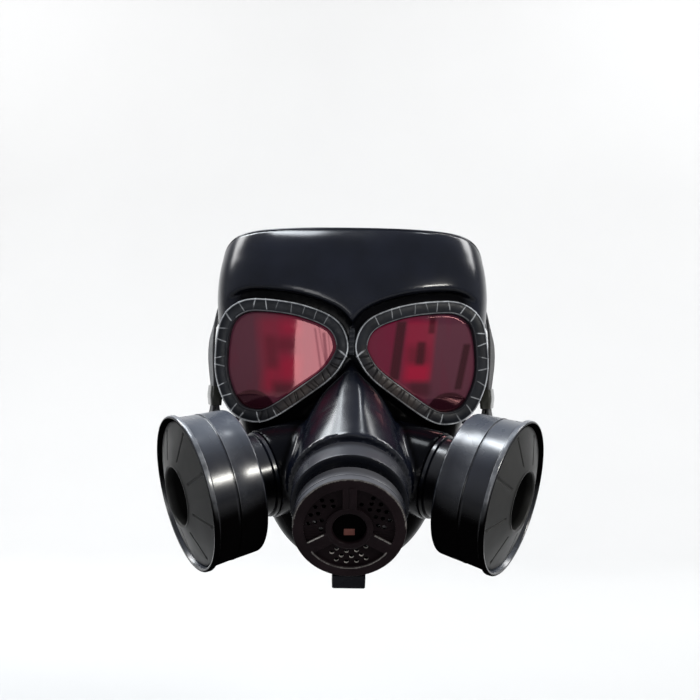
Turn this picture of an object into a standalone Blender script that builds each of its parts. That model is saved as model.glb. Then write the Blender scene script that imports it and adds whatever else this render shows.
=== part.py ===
"""Gas mask style costume mask: face shell, goggles, stepped snout, filter drums and head strap.

Frame: +X to the mask's right as seen from the front, +Y towards the back of the head, +Z up.
The origin is the seat on the bridge of the nose, inside the shell. Lengths are metres.
"""

import math
from typing import NamedTuple

import bmesh
import bpy
import numpy as np
from mathutils import Vector

MM = 0.001
GAP = 0.3 * MM
SIDES = (("left", -1), ("right", 1))
RIGHT = np.array([1.0, 0.0, 0.0])
UP = np.array([0.0, 0.0, 1.0])

WALL = 2.5 * MM
SMOOTH_ANGLE = math.radians(35)
FLAT_ANGLE = math.radians(3.5)
MERGE = 0.02 * MM
FINE_MERGE = 0.01 * MM
SLIVER = 0.002 * MM


class FaceSection(NamedTuple):
    """One level of the face form: height, half width and front line, in millimetres."""

    height: float
    half_width: float
    front: float


FACE_SECTIONS = (
    FaceSection(-150, 10, 5),
    FaceSection(-141, 27, -20),
    FaceSection(-130, 40, -30),
    FaceSection(-110, 54, -33),
    FaceSection(-80, 65, -27),
    FaceSection(-50, 76, -24),
    FaceSection(-25, 85, -27),
    FaceSection(0, 89.5, -31),
    FaceSection(20, 91.5, -35),
    FaceSection(40, 92, -34),
    FaceSection(60, 89, -27),
    FaceSection(80, 81, -13),
    FaceSection(105, 55, 30),
)
FACE_WIDEST = 25 * MM
FACE_BACK = 75 * MM
FACE_SQUARENESS = 2.6

ROW_ANGLES = (20.5, 24, 28, 32, 37, 42, 48, 54, 60, 67, 74, 82, 90, 98, 107, 120, 138, 158)
SPOKES = 36
EYE_DEPTH = 150 * MM
RAY_START = 5 * MM
RAY_END = 230 * MM
RAY_STEPS = 120
HALVINGS = 24

SNOUT_TILT = math.radians(25)
SNOUT_AXIS = np.array([0.0, -math.cos(SNOUT_TILT), -math.sin(SNOUT_TILT)])
SNOUT_UP = np.array([0.0, -math.sin(SNOUT_TILT), math.cos(SNOUT_TILT)])
SNOUT_FACE = np.array([0.0, -95.0, -107.0]) * MM

SNOUT_RADIUS = 34.4 * MM
STEP_RADIUS = 36.0 * MM
STEP_RISE = 7.0 * MM
STEP_START = 14.0 * MM
NOSE_RADIUS = 38.5 * MM
NOSE_RISE = 9.5 * MM
NOSE_START = 30.0 * MM
SNOUT_DEPTH = 46.0 * MM


class NoseSection(NamedTuple):
    """One slice of the nose, in millimetres: distance behind the step, radius and ridge height."""

    back: float
    radius: float
    ridge: float


NOSE_SECTIONS = (
    NoseSection(0, 38.5, 38.5),
    NoseSection(18, 37.5, 42.5),
    NoseSection(36, 34, 46.5),
    NoseSection(52, 26, 50),
    NoseSection(67, 15, 53),
    NoseSection(82, 6, 55),
)
RIDGE_HALF_ANGLE = math.radians(13)
FLANK_ANGLE = math.radians(50)
FACET_DEPTH = 0.5
FACET_START = 30 * MM
NOSE_BLEND = 9 * MM
STEP_OVERLAP = 4 * MM
SNOUT_SIDES = 40


class OutlinePoint(NamedTuple):
    """A point of the lens outline in millimetres: outwards from its nose tip, and up from its middle."""

    out: float
    up: float


LENS_OUTLINE = (
    OutlinePoint(0.0, 10.8),
    OutlinePoint(5.9, 21.2),
    OutlinePoint(25.0, 28.7),
    OutlinePoint(47.3, 31.9),
    OutlinePoint(61.4, 31.0),
    OutlinePoint(70.5, 22.8),
    OutlinePoint(73.6, 3.3),
    OutlinePoint(72.2, -13.0),
    OutlinePoint(64.8, -28.0),
    OutlinePoint(54.0, -32.3),
    OutlinePoint(43.2, -29.3),
    OutlinePoint(21.0, -14.5),
    OutlinePoint(8.8, -5.2),
    OutlinePoint(2.7, 2.6),
)
OUTLINE_STEPS = 3
GOGGLE_TURN = math.radians(13)
GOGGLE_TIP = np.array([10.6, -34.0, -7.5]) * MM
SOCKET_DEPTH = 6.0 * MM
SOCKET_LENGTH = 34.0 * MM
SOCKET_FLARE = 1.5 * MM
RIM_WIDTH = 8.2 * MM
MOAT_WIDTH = 3.8 * MM
MOAT_SHIFT = np.array([-0.6, 2.2]) * MM
MOAT_FLARE = 2.0 * MM
MOAT_REACH = 45.0 * MM
STILL = np.zeros(2)
EYE_LEDGE = 2.0 * MM
EYE_FRONT = 10.0 * MM
EYE_BACK = 54.0 * MM
HOUSING_LIP = 0.4 * MM


class RimPoint(NamedTuple):
    """A point of the rim's section in millimetres: outwards from the lens, and forwards of its plane."""

    offset: float
    lift: float


RIM_SECTION = (
    RimPoint(0.0, -5.7),
    RimPoint(0.0, -1.6),
    RimPoint(1.2, -0.3),
    RimPoint(6.4, -1.0),
    RimPoint(7.2, -0.2),
    RimPoint(8.2, -0.7),
    RimPoint(8.4, -1.8),
    RimPoint(8.2, -5.7),
)

LENS_THICKNESS = 2.0 * MM
LENS_DOME = 2.2 * MM
LENS_RINGS = (1.0, 0.6)

BRIDGE_FRONT_HALF = 2.0 * MM
BRIDGE_BACK_HALF = 0.8 * MM
BRIDGE_TOP = 14.0 * MM
BRIDGE_BOTTOM = -3.0 * MM
BRIDGE_FRONT = -35.2 * MM
BRIDGE_BACK = -30.8 * MM
BRIDGE_RIBS = 5
BRIDGE_RIB_HEIGHT = 0.7 * MM

DRUM_AXIS = np.array([0.88, -0.42, -0.21])
DRUM_AXIS = DRUM_AXIS / np.linalg.norm(DRUM_AXIS)
DRUM_RIM_CENTRE = np.array([103.0, -61.5, -91.5]) * MM
DRUM_LENGTH = 37.0 * MM
DRUM_RADIUS = 48.0 * MM
DRUM_BACK_RADIUS = 46.0 * MM
DRUM_RIM_RADIUS = 50.0 * MM
DRUM_RIM_WIDTH = 3.6 * MM
DRUM_WALL = 2.6 * MM
RIM_WALL = 2.6 * MM
DRUM_BEVEL = 1.8 * MM
DRUM_SIDES = 28
GROOVE_PLACE = 18.0 * MM
GROOVE_WIDTH = 1.4 * MM
GROOVE_DEPTH = 0.8 * MM
GROOVE_SLOPE = 0.4 * MM
COVER_HOLE_RADIUS = 18.5 * MM
COVER_RISE = 8.0 * MM
COVER_WALL = 2.0 * MM
COVER_SEAT = 2.5 * MM
TUBE_DEPTH = 30.0 * MM
TUBE_TAPER = 0.8 * MM
TUBE_WALL = 1.8 * MM
LIP_ROUND = 0.8 * MM
COVER_GROOVES = 8
COVER_GROOVE_WIDTH = 1.6 * MM
COVER_GROOVE_INNER = 24.0 * MM
COVER_GROOVE_OUTER = 42.0 * MM
COVER_GROOVE_DEPTH = 0.7 * MM
AIR_RADIUS = 12.0 * MM

COLLAR_LENGTH = 17.0 * MM
COLLAR_RADIUS = 26.0 * MM
COLLAR_SIDES = 24
FLANGE_WIDTH = 3.0 * MM
FLANGE_RISE = 1.5 * MM
BOSS_RADIUS = 28.5 * MM
BOSS_LENGTH = 34.0 * MM
AIR_PLAY = 2.0 * MM
AIR_REACH = 60.0 * MM

PLATE_THICKNESS = 5.0 * MM
PLATE_BEVEL = 1.2 * MM
PLATE_SIDES = 26
HUB_RISE = 0.6 * MM
HUB_WALL = 1.8 * MM
FIELD_OUTER = 28.0 * MM
FIELD_INNER = 13.8 * MM
FIELD_DEPTH = 2.0 * MM
FIELD_FLOOR = 1.8 * MM
HUB_HOLE = 10.2 * MM
HUB_DEPTH = 5.0 * MM
SPOKE_WIDTH = 7.5 * MM
SPOKE_COUNT = 3
SPOKE_DEPTH = 2.9 * MM
SPOKE_DROP = 0.1 * MM
SPOKE_OVERLAP = 1.0 * MM
HOLE_RADIUS = 1.15 * MM
HOLE_ROWS = (17.2 * MM, 20.9 * MM, 24.6 * MM)
HOLES_IN_ROW = 4
HOLE_STEP = math.radians(17)
HOLE_STAGGER = 0.25
HOLE_SIDES = 6
SLOT_WIDTH = 6.6 * MM
SLOT_HEIGHT = 4.8 * MM
SLOT_DROP = 5.6 * MM

TAB_WIDTH = 20.5 * MM
TAB_BOTTOM = 44.0 * MM
TAB_FRONT = 1.0 * MM
TAB_BACK = 12.0 * MM
TAB_STEM = 1.5 * MM


class EdgePoint(NamedTuple):
    """A point of the shell's back edge seen from the side, in millimetres."""

    depth: float
    height: float


SHELL_EDGE = (
    EdgePoint(-22, -150),
    EdgePoint(-8, -134),
    EdgePoint(8, -112),
    EdgePoint(22, -80),
    EdgePoint(32, -45),
    EdgePoint(36, -5),
    EdgePoint(34, 28),
    EdgePoint(24, 56),
    EdgePoint(6, 73),
    EdgePoint(-14, 80),
    EdgePoint(-40, 84),
)
EDGE_STEPS = 3
EDGE_TOP = 160 * MM
EDGE_BOTTOM = -190 * MM
EDGE_BACK = 200 * MM
EDGE_HALF_WIDTH = 150 * MM

STRAP_WIDTH = 20.0 * MM
STRAP_THICKNESS = 1.8 * MM
STRAP_LEAN = math.radians(12)
LAYER_SPACING = 2.6 * MM

LOOP_BAR = np.array([94.0, 27.0, -48.0]) * MM
LOOP_BAR_SIZE = 2.4 * MM
LOOP_ROOT = 24.0 * MM
LOOP_SLOT = 7.0 * MM
LOOP_MARGIN = 2.5 * MM
LOOP_PLAY = 1.0 * MM
TURN_PLAY = 1.6 * MM
TURN_STEPS = 6

SLIDER_HEIGHT = 13.5 * MM
SLIDER_RISE = 15.5 * MM
SLIDER_WALL = 1.8 * MM
SLIDER_PLAY = 0.4 * MM
SLIDER_CHAMFER = 0.6


class StrapPoint(NamedTuple):
    """A point on the middle line of the head strap's right half, in millimetres."""

    x: float
    y: float
    z: float


STRAP_ROUTE = (
    StrapPoint(97.2, 31, -2),
    StrapPoint(96, 42, 18),
    StrapPoint(90, 64, 34),
    StrapPoint(82, 92, 44),
    StrapPoint(70, 128, 50),
    StrapPoint(46, 165, 53),
    StrapPoint(18, 186, 54),
    StrapPoint(0, 190, 54),
)
ROUTE_STEPS = 3
STRAP_TAIL = 27.0 * MM
HEAD_CENTRE = np.array([0.0, 95.0, 0.0]) * MM
HEAD_LENGTHENING = 1.6


def clear_scene() -> None:
    """Empty the file of its objects."""
    for item in list(bpy.data.objects):
        bpy.data.objects.remove(item, do_unlink=True)


def plastic(name: str, colour: tuple, roughness: float, metallic: float = 0.0) -> bpy.types.Material:
    """A plain material of one colour."""
    material = bpy.data.materials.new(name)
    material.use_nodes = True
    shader = material.node_tree.nodes["Principled BSDF"]
    shader.inputs["Base Color"].default_value = (*colour, 1.0)
    shader.inputs["Roughness"].default_value = roughness
    shader.inputs["Metallic"].default_value = metallic
    return material


def add_mesh(name: str, points, faces, material=None) -> bpy.types.Object:
    """An object from points and faces, its faces turned outwards and shaded smooth."""
    mesh = bpy.data.meshes.new(name)
    work = bmesh.new()
    corners = [work.verts.new(Vector([float(c) for c in point])) for point in points]
    for face in faces:
        work.faces.new([corners[i] for i in face])
    bmesh.ops.recalc_face_normals(work, faces=work.faces)
    bmesh.ops.triangulate(work, faces=work.faces)
    work.to_mesh(mesh)
    work.free()
    mesh.shade_smooth()
    mesh.set_sharp_from_angle(angle=SMOOTH_ANGLE)
    item = bpy.data.objects.new(name, mesh)
    bpy.context.scene.collection.objects.link(item)
    if material:
        mesh.materials.append(material)
    return item


def combine(item, other, operation: str) -> None:
    """Join or cut one object with another at once, and drop the other."""
    modifier = item.modifiers.new(operation.title(), "BOOLEAN")
    modifier.operation = operation
    modifier.solver = "EXACT"
    modifier.object = other
    bpy.context.view_layer.update()
    mesh = bpy.data.meshes.new_from_object(item.evaluated_get(bpy.context.evaluated_depsgraph_get()))
    old = item.data
    item.modifiers.clear()
    item.data = mesh
    bpy.data.meshes.remove(old)
    bpy.data.objects.remove(other, do_unlink=True)
    mesh.name = item.name
    work = bmesh.new()
    work.from_mesh(mesh)
    bmesh.ops.triangulate(work, faces=work.faces)
    bmesh.ops.dissolve_degenerate(work, edges=work.edges, dist=SLIVER)
    work.to_mesh(mesh)
    work.free()
    mesh.shade_smooth()
    mesh.set_sharp_from_angle(angle=SMOOTH_ANGLE)


def tidy_mesh(item, distance: float = MERGE) -> None:
    """Merge the close points and melt the thin triangles that the cuts left."""
    work = bmesh.new()
    work.from_mesh(item.data)
    bmesh.ops.remove_doubles(work, verts=work.verts, dist=distance)
    bmesh.ops.dissolve_limit(work, angle_limit=FLAT_ANGLE, verts=work.verts, edges=work.edges)
    bmesh.ops.dissolve_degenerate(work, edges=work.edges, dist=distance)
    bmesh.ops.triangulate(work, faces=work.faces)
    bmesh.ops.recalc_face_normals(work, faces=work.faces)
    work.to_mesh(item.data)
    work.free()


def on_side(point: np.ndarray, side: int) -> np.ndarray:
    """A point of the right side as it is, or its mirror image for the left side."""
    return point * np.array([side, 1, 1])


def curve_point(a: np.ndarray, b: np.ndarray, c: np.ndarray, d: np.ndarray, t: float) -> np.ndarray:
    """A point between b and c on the smooth curve through a, b, c and d."""
    return 0.5 * (2 * b + (c - a) * t + (2 * a - 5 * b + 4 * c - d) * t**2 + (3 * b - a - 3 * c + d) * t**3)


def smooth_rows(rows, places: np.ndarray, column: int) -> np.ndarray:
    """Read one column of a table at any places along its first column, on a smooth curve, in metres."""
    keys = np.array([row[0] for row in rows], dtype=float) * MM
    values = np.array([row[column] for row in rows], dtype=float) * MM
    slopes = np.gradient(values, keys)
    places = np.clip(places, keys[0], keys[-1])
    span = np.clip(np.searchsorted(keys, places, side="right") - 1, 0, len(keys) - 2)
    width = keys[span + 1] - keys[span]
    t = (places - keys[span]) / width
    start = (2 * t**3 - 3 * t**2 + 1) * values[span] + (t**3 - 2 * t**2 + t) * width * slopes[span]
    end = (-2 * t**3 + 3 * t**2) * values[span + 1] + (t**3 - t**2) * width * slopes[span + 1]
    return start + end


def smooth_least(a: np.ndarray, b: np.ndarray, blend: float) -> np.ndarray:
    """The smaller of two distances, rounded where they meet."""
    near = np.maximum(blend - np.abs(a - b), 0.0) / blend
    return np.minimum(a, b) - near**2 * blend / 4


def face_distance(points: np.ndarray, inset: float) -> np.ndarray:
    """About how far points lie outside the face form, or outside the same form made smaller by inset."""
    half_width = np.maximum(smooth_rows(FACE_SECTIONS, points[:, 2], 1) - inset, MM)
    front = smooth_rows(FACE_SECTIONS, points[:, 2], 2) + inset
    depth = np.where(points[:, 1] < FACE_WIDEST, np.maximum(FACE_WIDEST - front, MM), FACE_BACK)
    across = np.abs(points[:, 0]) / half_width
    along = np.abs(points[:, 1] - FACE_WIDEST) / depth
    reach = (across**FACE_SQUARENESS + along**FACE_SQUARENESS) ** (1 / FACE_SQUARENESS)
    body = (reach - 1) * np.minimum(half_width, depth)
    top = points[:, 2] - FACE_SECTIONS[-1].height * MM + inset
    bottom = FACE_SECTIONS[0].height * MM + inset - points[:, 2]
    return np.maximum(np.maximum(body, top), bottom)


def nose_distance(points: np.ndarray, inset: float) -> np.ndarray:
    """About how far points lie outside the nose, a cone with a flat ridge and flat flanks."""
    end = SNOUT_FACE - NOSE_START * SNOUT_AXIS + NOSE_RISE * SNOUT_UP
    back = -(points - end) @ SNOUT_AXIS
    radius = smooth_rows(NOSE_SECTIONS, back, 1) - inset
    centre = smooth_rows(NOSE_SECTIONS, back, 2) - inset - radius
    high = (points - end) @ SNOUT_UP - centre
    angle = np.abs(np.arctan2(points[:, 0], high))
    ridge = math.cos(RIDGE_HALF_ANGLE) / np.cos(np.minimum(angle, RIDGE_HALF_ANGLE))
    flank_half = FLANK_ANGLE - RIDGE_HALF_ANGLE
    off_flank = np.clip(angle - FLANK_ANGLE, -flank_half, flank_half)
    flank = math.cos(flank_half) / np.cos(off_flank)
    facet = np.where(angle < RIDGE_HALF_ANGLE, ridge, flank)
    share = FACET_DEPTH * np.clip(back / FACET_START, 0, 1)
    reach = np.hypot(points[:, 0], high)
    body = reach - radius * (1 - share + share * facet)
    return np.maximum(body, -back - inset)


def form_distance(points: np.ndarray, inset: float) -> np.ndarray:
    """About how far points lie outside the face and nose together."""
    return smooth_least(face_distance(points, inset), nose_distance(points, inset), NOSE_BLEND)


def form_solid(name: str, inset: float) -> bpy.types.Object:
    """The face and nose as one closed solid, on spokes that spread from the snout's axis."""
    end = SNOUT_FACE - (NOSE_START + inset) * SNOUT_AXIS + NOSE_RISE * SNOUT_UP
    eye = SNOUT_FACE - EYE_DEPTH * SNOUT_AXIS + NOSE_RISE * SNOUT_UP
    turns = 2 * math.pi * (np.arange(SPOKES) + 0.5) / SPOKES
    spokes = [math.sin(turn) * RIGHT + math.cos(turn) * SNOUT_UP for turn in turns]
    points = [end] + [end + (NOSE_RADIUS - inset) * across for across in spokes]
    rays = []
    for row in ROW_ANGLES:
        lean = math.radians(row)
        rays += [math.cos(lean) * SNOUT_AXIS + math.sin(lean) * across for across in spokes]
    rays.append(-SNOUT_AXIS)
    rays = np.array(rays)
    low = np.full(len(rays), RAY_START)
    high = np.full(len(rays), RAY_END)
    open_ray = np.ones(len(rays), dtype=bool)
    for reach in np.linspace(RAY_START, RAY_END, RAY_STEPS):
        outside = form_distance(eye + rays * reach, inset) > 0
        first = open_ray & outside
        high[first] = reach
        open_ray &= ~outside
        low[open_ray] = reach
    for _ in range(HALVINGS):
        middle = (low + high) / 2
        outside = form_distance(eye + rays * middle[:, None], inset) > 0
        high = np.where(outside, middle, high)
        low = np.where(outside, low, middle)
    points.extend(eye + rays * low[:, None])
    faces = []
    for spoke in range(SPOKES):
        after = (spoke + 1) % SPOKES
        faces.append((0, 1 + spoke, 1 + after))
        for row in range(len(ROW_ANGLES)):
            a, b = 1 + row * SPOKES, 1 + (row + 1) * SPOKES
            faces.append((a + spoke, b + spoke, b + after, a + after))
        last = 1 + len(ROW_ANGLES) * SPOKES
        faces.append((last + spoke, len(points) - 1, last + after))
    return add_mesh(name, points, faces)


def frame_of(axis: np.ndarray) -> tuple:
    """Two directions across an axis: as level as can be, and as upright as can be."""
    level = np.cross(axis, UP)
    level = level / np.linalg.norm(level)
    return level, np.cross(level, axis)


def turned(name: str, profile, start, axis, sides: int, material=None) -> bpy.types.Object:
    """A closed profile of (along the axis, radius) pairs turned about an axis."""
    level, upright = frame_of(axis)
    points, rings = [], []
    for along, radius in profile:
        centre = start + along * axis
        if radius == 0:
            rings.append([len(points)] * sides)
            points.append(centre)
            continue
        rings.append(list(range(len(points), len(points) + sides)))
        for side in range(sides):
            turn = 2 * math.pi * side / sides
            points.append(centre + radius * (math.cos(turn) * level + math.sin(turn) * upright))
    faces = []
    for ring, following in zip(rings, rings[1:] + rings[:1]):
        for side in range(sides):
            after = (side + 1) % sides
            face = []
            for corner in (ring[side], ring[after], following[after], following[side]):
                if corner not in face:
                    face.append(corner)
            if len(face) > 2:
                faces.append(tuple(face))
    return add_mesh(name, points, faces, material)


def rod(name: str, start, end, radius: float, sides: int = 32) -> bpy.types.Object:
    """A plain round rod between two points."""
    span = np.asarray(end) - np.asarray(start)
    length = np.linalg.norm(span)
    profile = ((0, 0), (0, radius), (length, radius), (length, 0))
    return turned(name, profile, np.asarray(start), span / length, sides)


def block(name: str, centre, half_sizes, axes, material=None) -> bpy.types.Object:
    """A plain block with its own three directions."""
    points = []
    for i in (-1, 1):
        for j in (-1, 1):
            for k in (-1, 1):
                shift = sum(s * h * np.asarray(a) for s, h, a in zip((i, j, k), half_sizes, axes))
                points.append(np.asarray(centre) + shift)
    faces = ((0, 1, 3, 2), (4, 6, 7, 5), (0, 4, 5, 1), (2, 3, 7, 6), (0, 2, 6, 4), (1, 5, 7, 3))
    return add_mesh(name, points, faces, material)


def outline(offset: float) -> np.ndarray:
    """The lens outline on a smooth closed curve, moved outwards by offset, as (out, up) pairs in metres."""
    keys = np.array(LENS_OUTLINE) * MM
    count = len(keys)
    curve = []
    for i in range(count):
        a, b, c, d = (keys[(i + k) % count] for k in (-1, 0, 1, 2))
        curve += [curve_point(a, b, c, d, step / OUTLINE_STEPS) for step in range(OUTLINE_STEPS)]
    curve = np.array(curve)
    along = np.roll(curve, -1, axis=0) - np.roll(curve, 1, axis=0)
    along = along / np.linalg.norm(along, axis=1)[:, None]
    outward = np.stack([-along[:, 1], along[:, 0]], axis=1)
    return curve + outward * offset


def goggle_place(side: int, flat: np.ndarray, lift: float) -> np.ndarray:
    """Points of a goggle's flat drawing put in space, lift in front of the goggle's front plane."""
    across = np.array([math.cos(GOGGLE_TURN), math.sin(GOGGLE_TURN), 0])
    front = np.array([math.sin(GOGGLE_TURN), -math.cos(GOGGLE_TURN), 0])
    return on_side(GOGGLE_TIP + flat[:, :1] * across + flat[:, 1:] * UP + lift * front, side)


def outline_prism(name: str, side: int, shift: np.ndarray, levels) -> bpy.types.Object:
    """A closed prism over the lens outline moved by shift, from (offset, lift) levels."""
    rings = [goggle_place(side, outline(offset) + shift, lift) for offset, lift in levels]
    count = len(rings[0])
    points = [point for ring in rings for point in ring]
    faces = [tuple(range(count)), tuple(range(len(points) - 1, len(points) - 1 - count, -1))]
    for level in range(len(rings) - 1):
        for i in range(count):
            j = (i + 1) % count
            a, b = level * count, (level + 1) * count
            faces.append((a + i, a + j, b + j, b + i))
    return add_mesh(name, points, faces)


def edge_cutter() -> bpy.types.Object:
    """The block behind the shell's back edge, with the edge's side view as its front."""
    keys = np.array(SHELL_EDGE) * MM
    line = []
    for i in range(len(keys) - 1):
        a, b, c, d = (keys[min(max(i + k, 0), len(keys) - 1)] for k in (-1, 0, 1, 2))
        line += [curve_point(a, b, c, d, step / EDGE_STEPS) for step in range(EDGE_STEPS)]
    line.append(keys[-1])
    line += [(keys[-1][0], EDGE_TOP), (EDGE_BACK, EDGE_TOP)]
    line += [(EDGE_BACK, EDGE_BOTTOM), (keys[0][0], EDGE_BOTTOM)]
    count = len(line)
    points = [(side * EDGE_HALF_WIDTH, y, z) for side in (-1, 1) for y, z in line]
    faces = [tuple(range(count)), tuple(range(2 * count - 1, count - 1, -1))]
    faces += [(i, (i + 1) % count, count + (i + 1) % count, count + i) for i in range(count)]
    return add_mesh("edge_cutter", points, faces)


def drum_frame(side: int) -> tuple:
    """Where a drum's axis starts, at the middle of its inner end, and its outward direction."""
    axis = on_side(DRUM_AXIS, side)
    return on_side(DRUM_RIM_CENTRE, side) - DRUM_LENGTH * axis, axis


def strap_frame(side: int) -> tuple:
    """At a strap loop: the direction out of the strap's face, and the direction of its width."""
    outward = np.array([side * math.cos(STRAP_LEAN), -math.sin(STRAP_LEAN), 0.0])
    along = np.array([side * math.sin(STRAP_LEAN), math.cos(STRAP_LEAN), 0.0])
    return outward, along


def drum_boss(shell: bpy.types.Object, side: int) -> None:
    """Join the round boss that carries a drum's collar to the shell's cheek."""
    start, axis = drum_frame(side)
    front = start - (COLLAR_LENGTH + GAP) * axis
    combine(shell, rod("boss", front - BOSS_LENGTH * axis, front, BOSS_RADIUS), "UNION")


def snout_steps(shell: bpy.types.Object) -> None:
    """Join the snout's front ring and the step behind it to the shell."""
    front = SNOUT_FACE - (PLATE_THICKNESS + GAP) * SNOUT_AXIS
    back = SNOUT_FACE - SNOUT_DEPTH * SNOUT_AXIS
    combine(shell, rod("snout", back, front, SNOUT_RADIUS, SNOUT_SIDES), "UNION")
    raised = SNOUT_FACE + STEP_RISE * SNOUT_UP
    front = raised - STEP_START * SNOUT_AXIS
    back = raised - (NOSE_START + STEP_OVERLAP) * SNOUT_AXIS
    combine(shell, rod("step", back, front, STEP_RADIUS, SNOUT_SIDES), "UNION")


def inner_space() -> bpy.types.Object:
    """The hollow of the face and nose, held back from the floors of the two moats."""
    hollow = form_solid("hollow", WALL)
    floor = RIM_WIDTH + MOAT_WIDTH + WALL
    levels = ((floor, -SOCKET_DEPTH - WALL), (floor + MOAT_FLARE, MOAT_REACH))
    for _, side in SIDES:
        combine(hollow, outline_prism("floor", side, MOAT_SHIFT, levels), "DIFFERENCE")
    return hollow


def snout_bores(shell: bpy.types.Object) -> None:
    """Open the snout and the step behind it from the inside."""
    back = SNOUT_FACE - AIR_REACH * SNOUT_AXIS
    combine(shell, rod("bore", back, SNOUT_FACE, SNOUT_RADIUS - WALL, SNOUT_SIDES), "DIFFERENCE")
    raised = SNOUT_FACE + STEP_RISE * SNOUT_UP
    front = raised - (STEP_START + WALL) * SNOUT_AXIS
    back = raised - (NOSE_START + 2 * STEP_OVERLAP) * SNOUT_AXIS
    combine(shell, rod("step_bore", back, front, STEP_RADIUS - WALL, SNOUT_SIDES), "DIFFERENCE")


def chin_tab(shell: bpy.types.Object) -> None:
    """Join the tab under the valve cover, a lip on a stem that grows from the snout's front ring."""
    for front, top, bottom in (
        (TAB_FRONT, SNOUT_RADIUS + GAP, TAB_BOTTOM),
        (PLATE_THICKNESS + 2 * GAP, SNOUT_RADIUS - TAB_STEM, TAB_BOTTOM - TAB_FRONT),
    ):
        middle = SNOUT_FACE - (front + TAB_BACK) / 2 * SNOUT_AXIS - (top + bottom) / 2 * SNOUT_UP
        half = (TAB_WIDTH / 2, (bottom - top) / 2, (TAB_BACK - front) / 2)
        combine(shell, block("tab", middle, half, (RIGHT, SNOUT_UP, SNOUT_AXIS)), "UNION")


def strap_loop(shell: bpy.types.Object, side: int) -> None:
    """Join the slotted ear that the strap turns round to the shell's cheek."""
    outward, along = strap_frame(side)
    bar = on_side(LOOP_BAR, side)
    half_width = STRAP_WIDTH / 2 + LOOP_PLAY
    middle = bar - (LOOP_ROOT - LOOP_BAR_SIZE) / 2 * outward
    half = (LOOP_ROOT / 2, half_width + LOOP_MARGIN, LOOP_BAR_SIZE / 2)
    loop = block("loop", middle, half, (outward, along, UP))
    slot = bar - (LOOP_BAR_SIZE + LOOP_SLOT) / 2 * outward
    half = (LOOP_SLOT / 2, half_width, LOOP_BAR_SIZE)
    combine(loop, block("slot", slot, half, (outward, along, UP)), "DIFFERENCE")
    combine(shell, loop, "UNION")


def face_shell(material) -> bpy.types.Object:
    """The moulded shell: face, brow, goggle sockets, nose, snout steps and cheek bosses, hollow behind."""
    shell = form_solid("face_shell", 0.0)
    moat = RIM_WIDTH + MOAT_WIDTH
    levels = ((moat, -SOCKET_DEPTH), (moat + MOAT_FLARE, MOAT_REACH))
    for _, side in SIDES:
        combine(shell, outline_prism("moat", side, MOAT_SHIFT, levels), "DIFFERENCE")
    housing = RIM_WIDTH - HOUSING_LIP
    levels = ((housing, -SOCKET_DEPTH), (housing + SOCKET_FLARE, -SOCKET_LENGTH))
    for _, side in SIDES:
        combine(shell, outline_prism("housing", side, STILL, levels), "UNION")
        drum_boss(shell, side)
    snout_steps(shell)
    combine(shell, inner_space(), "DIFFERENCE")
    snout_bores(shell)
    levels = ((-EYE_LEDGE, EYE_FRONT), (-EYE_LEDGE, -EYE_BACK))
    for _, side in SIDES:
        combine(shell, outline_prism("eye", side, STILL, levels), "DIFFERENCE")
        start, axis = drum_frame(side)
        air = rod("air", start - AIR_REACH * axis, start, AIR_RADIUS + AIR_PLAY)
        combine(shell, air, "DIFFERENCE")
    combine(shell, edge_cutter(), "DIFFERENCE")
    chin_tab(shell)
    for _, side in SIDES:
        strap_loop(shell, side)
    tidy_mesh(shell)
    shell.data.materials.append(material)
    return shell


def goggle_rim(name: str, side: int, material) -> bpy.types.Object:
    """The band round a lens, with a bead along its outer edge."""
    rings = [goggle_place(side, outline(point.offset * MM), point.lift * MM) for point in RIM_SECTION]
    count, levels = len(rings[0]), len(rings)
    points = [point for ring in rings for point in ring]
    faces = []
    for level in range(levels):
        after = (level + 1) % levels
        for i in range(count):
            j = (i + 1) % count
            a, b = level * count, after * count
            faces.append((a + i, a + j, b + j, b + i))
    return add_mesh(name, points, faces, material)


def lens(name: str, side: int, material) -> bpy.types.Object:
    """A domed lens plate just inside its rim, resting on the socket."""
    edge = outline(-GAP)
    middle = edge.mean(axis=0)
    back = -SOCKET_DEPTH + GAP
    points, rings = [], []
    for face_lift in (back, back + LENS_THICKNESS):
        for share in LENS_RINGS:
            flat = middle + (edge - middle) * share
            rings.append(goggle_place(side, flat, face_lift + LENS_DOME * (1 - share**2)))
    points = [point for ring in rings for point in ring]
    for face_lift in (back, back + LENS_THICKNESS):
        points.append(goggle_place(side, middle[None, :], face_lift + LENS_DOME)[0])
    count, levels = len(edge), len(LENS_RINGS)
    faces = []
    for i in range(count):
        j = (i + 1) % count
        for face in range(2):
            for level in range(levels - 1):
                a = (face * levels + level) * count
                faces.append((a + i, a + j, a + count + j, a + count + i))
            inner = (face * levels + levels - 1) * count
            faces.append((inner + i, inner + j, 2 * levels * count + face))
        faces.append((i, j, levels * count + j, levels * count + i))
    return add_mesh(name, points, faces, material)


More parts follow.
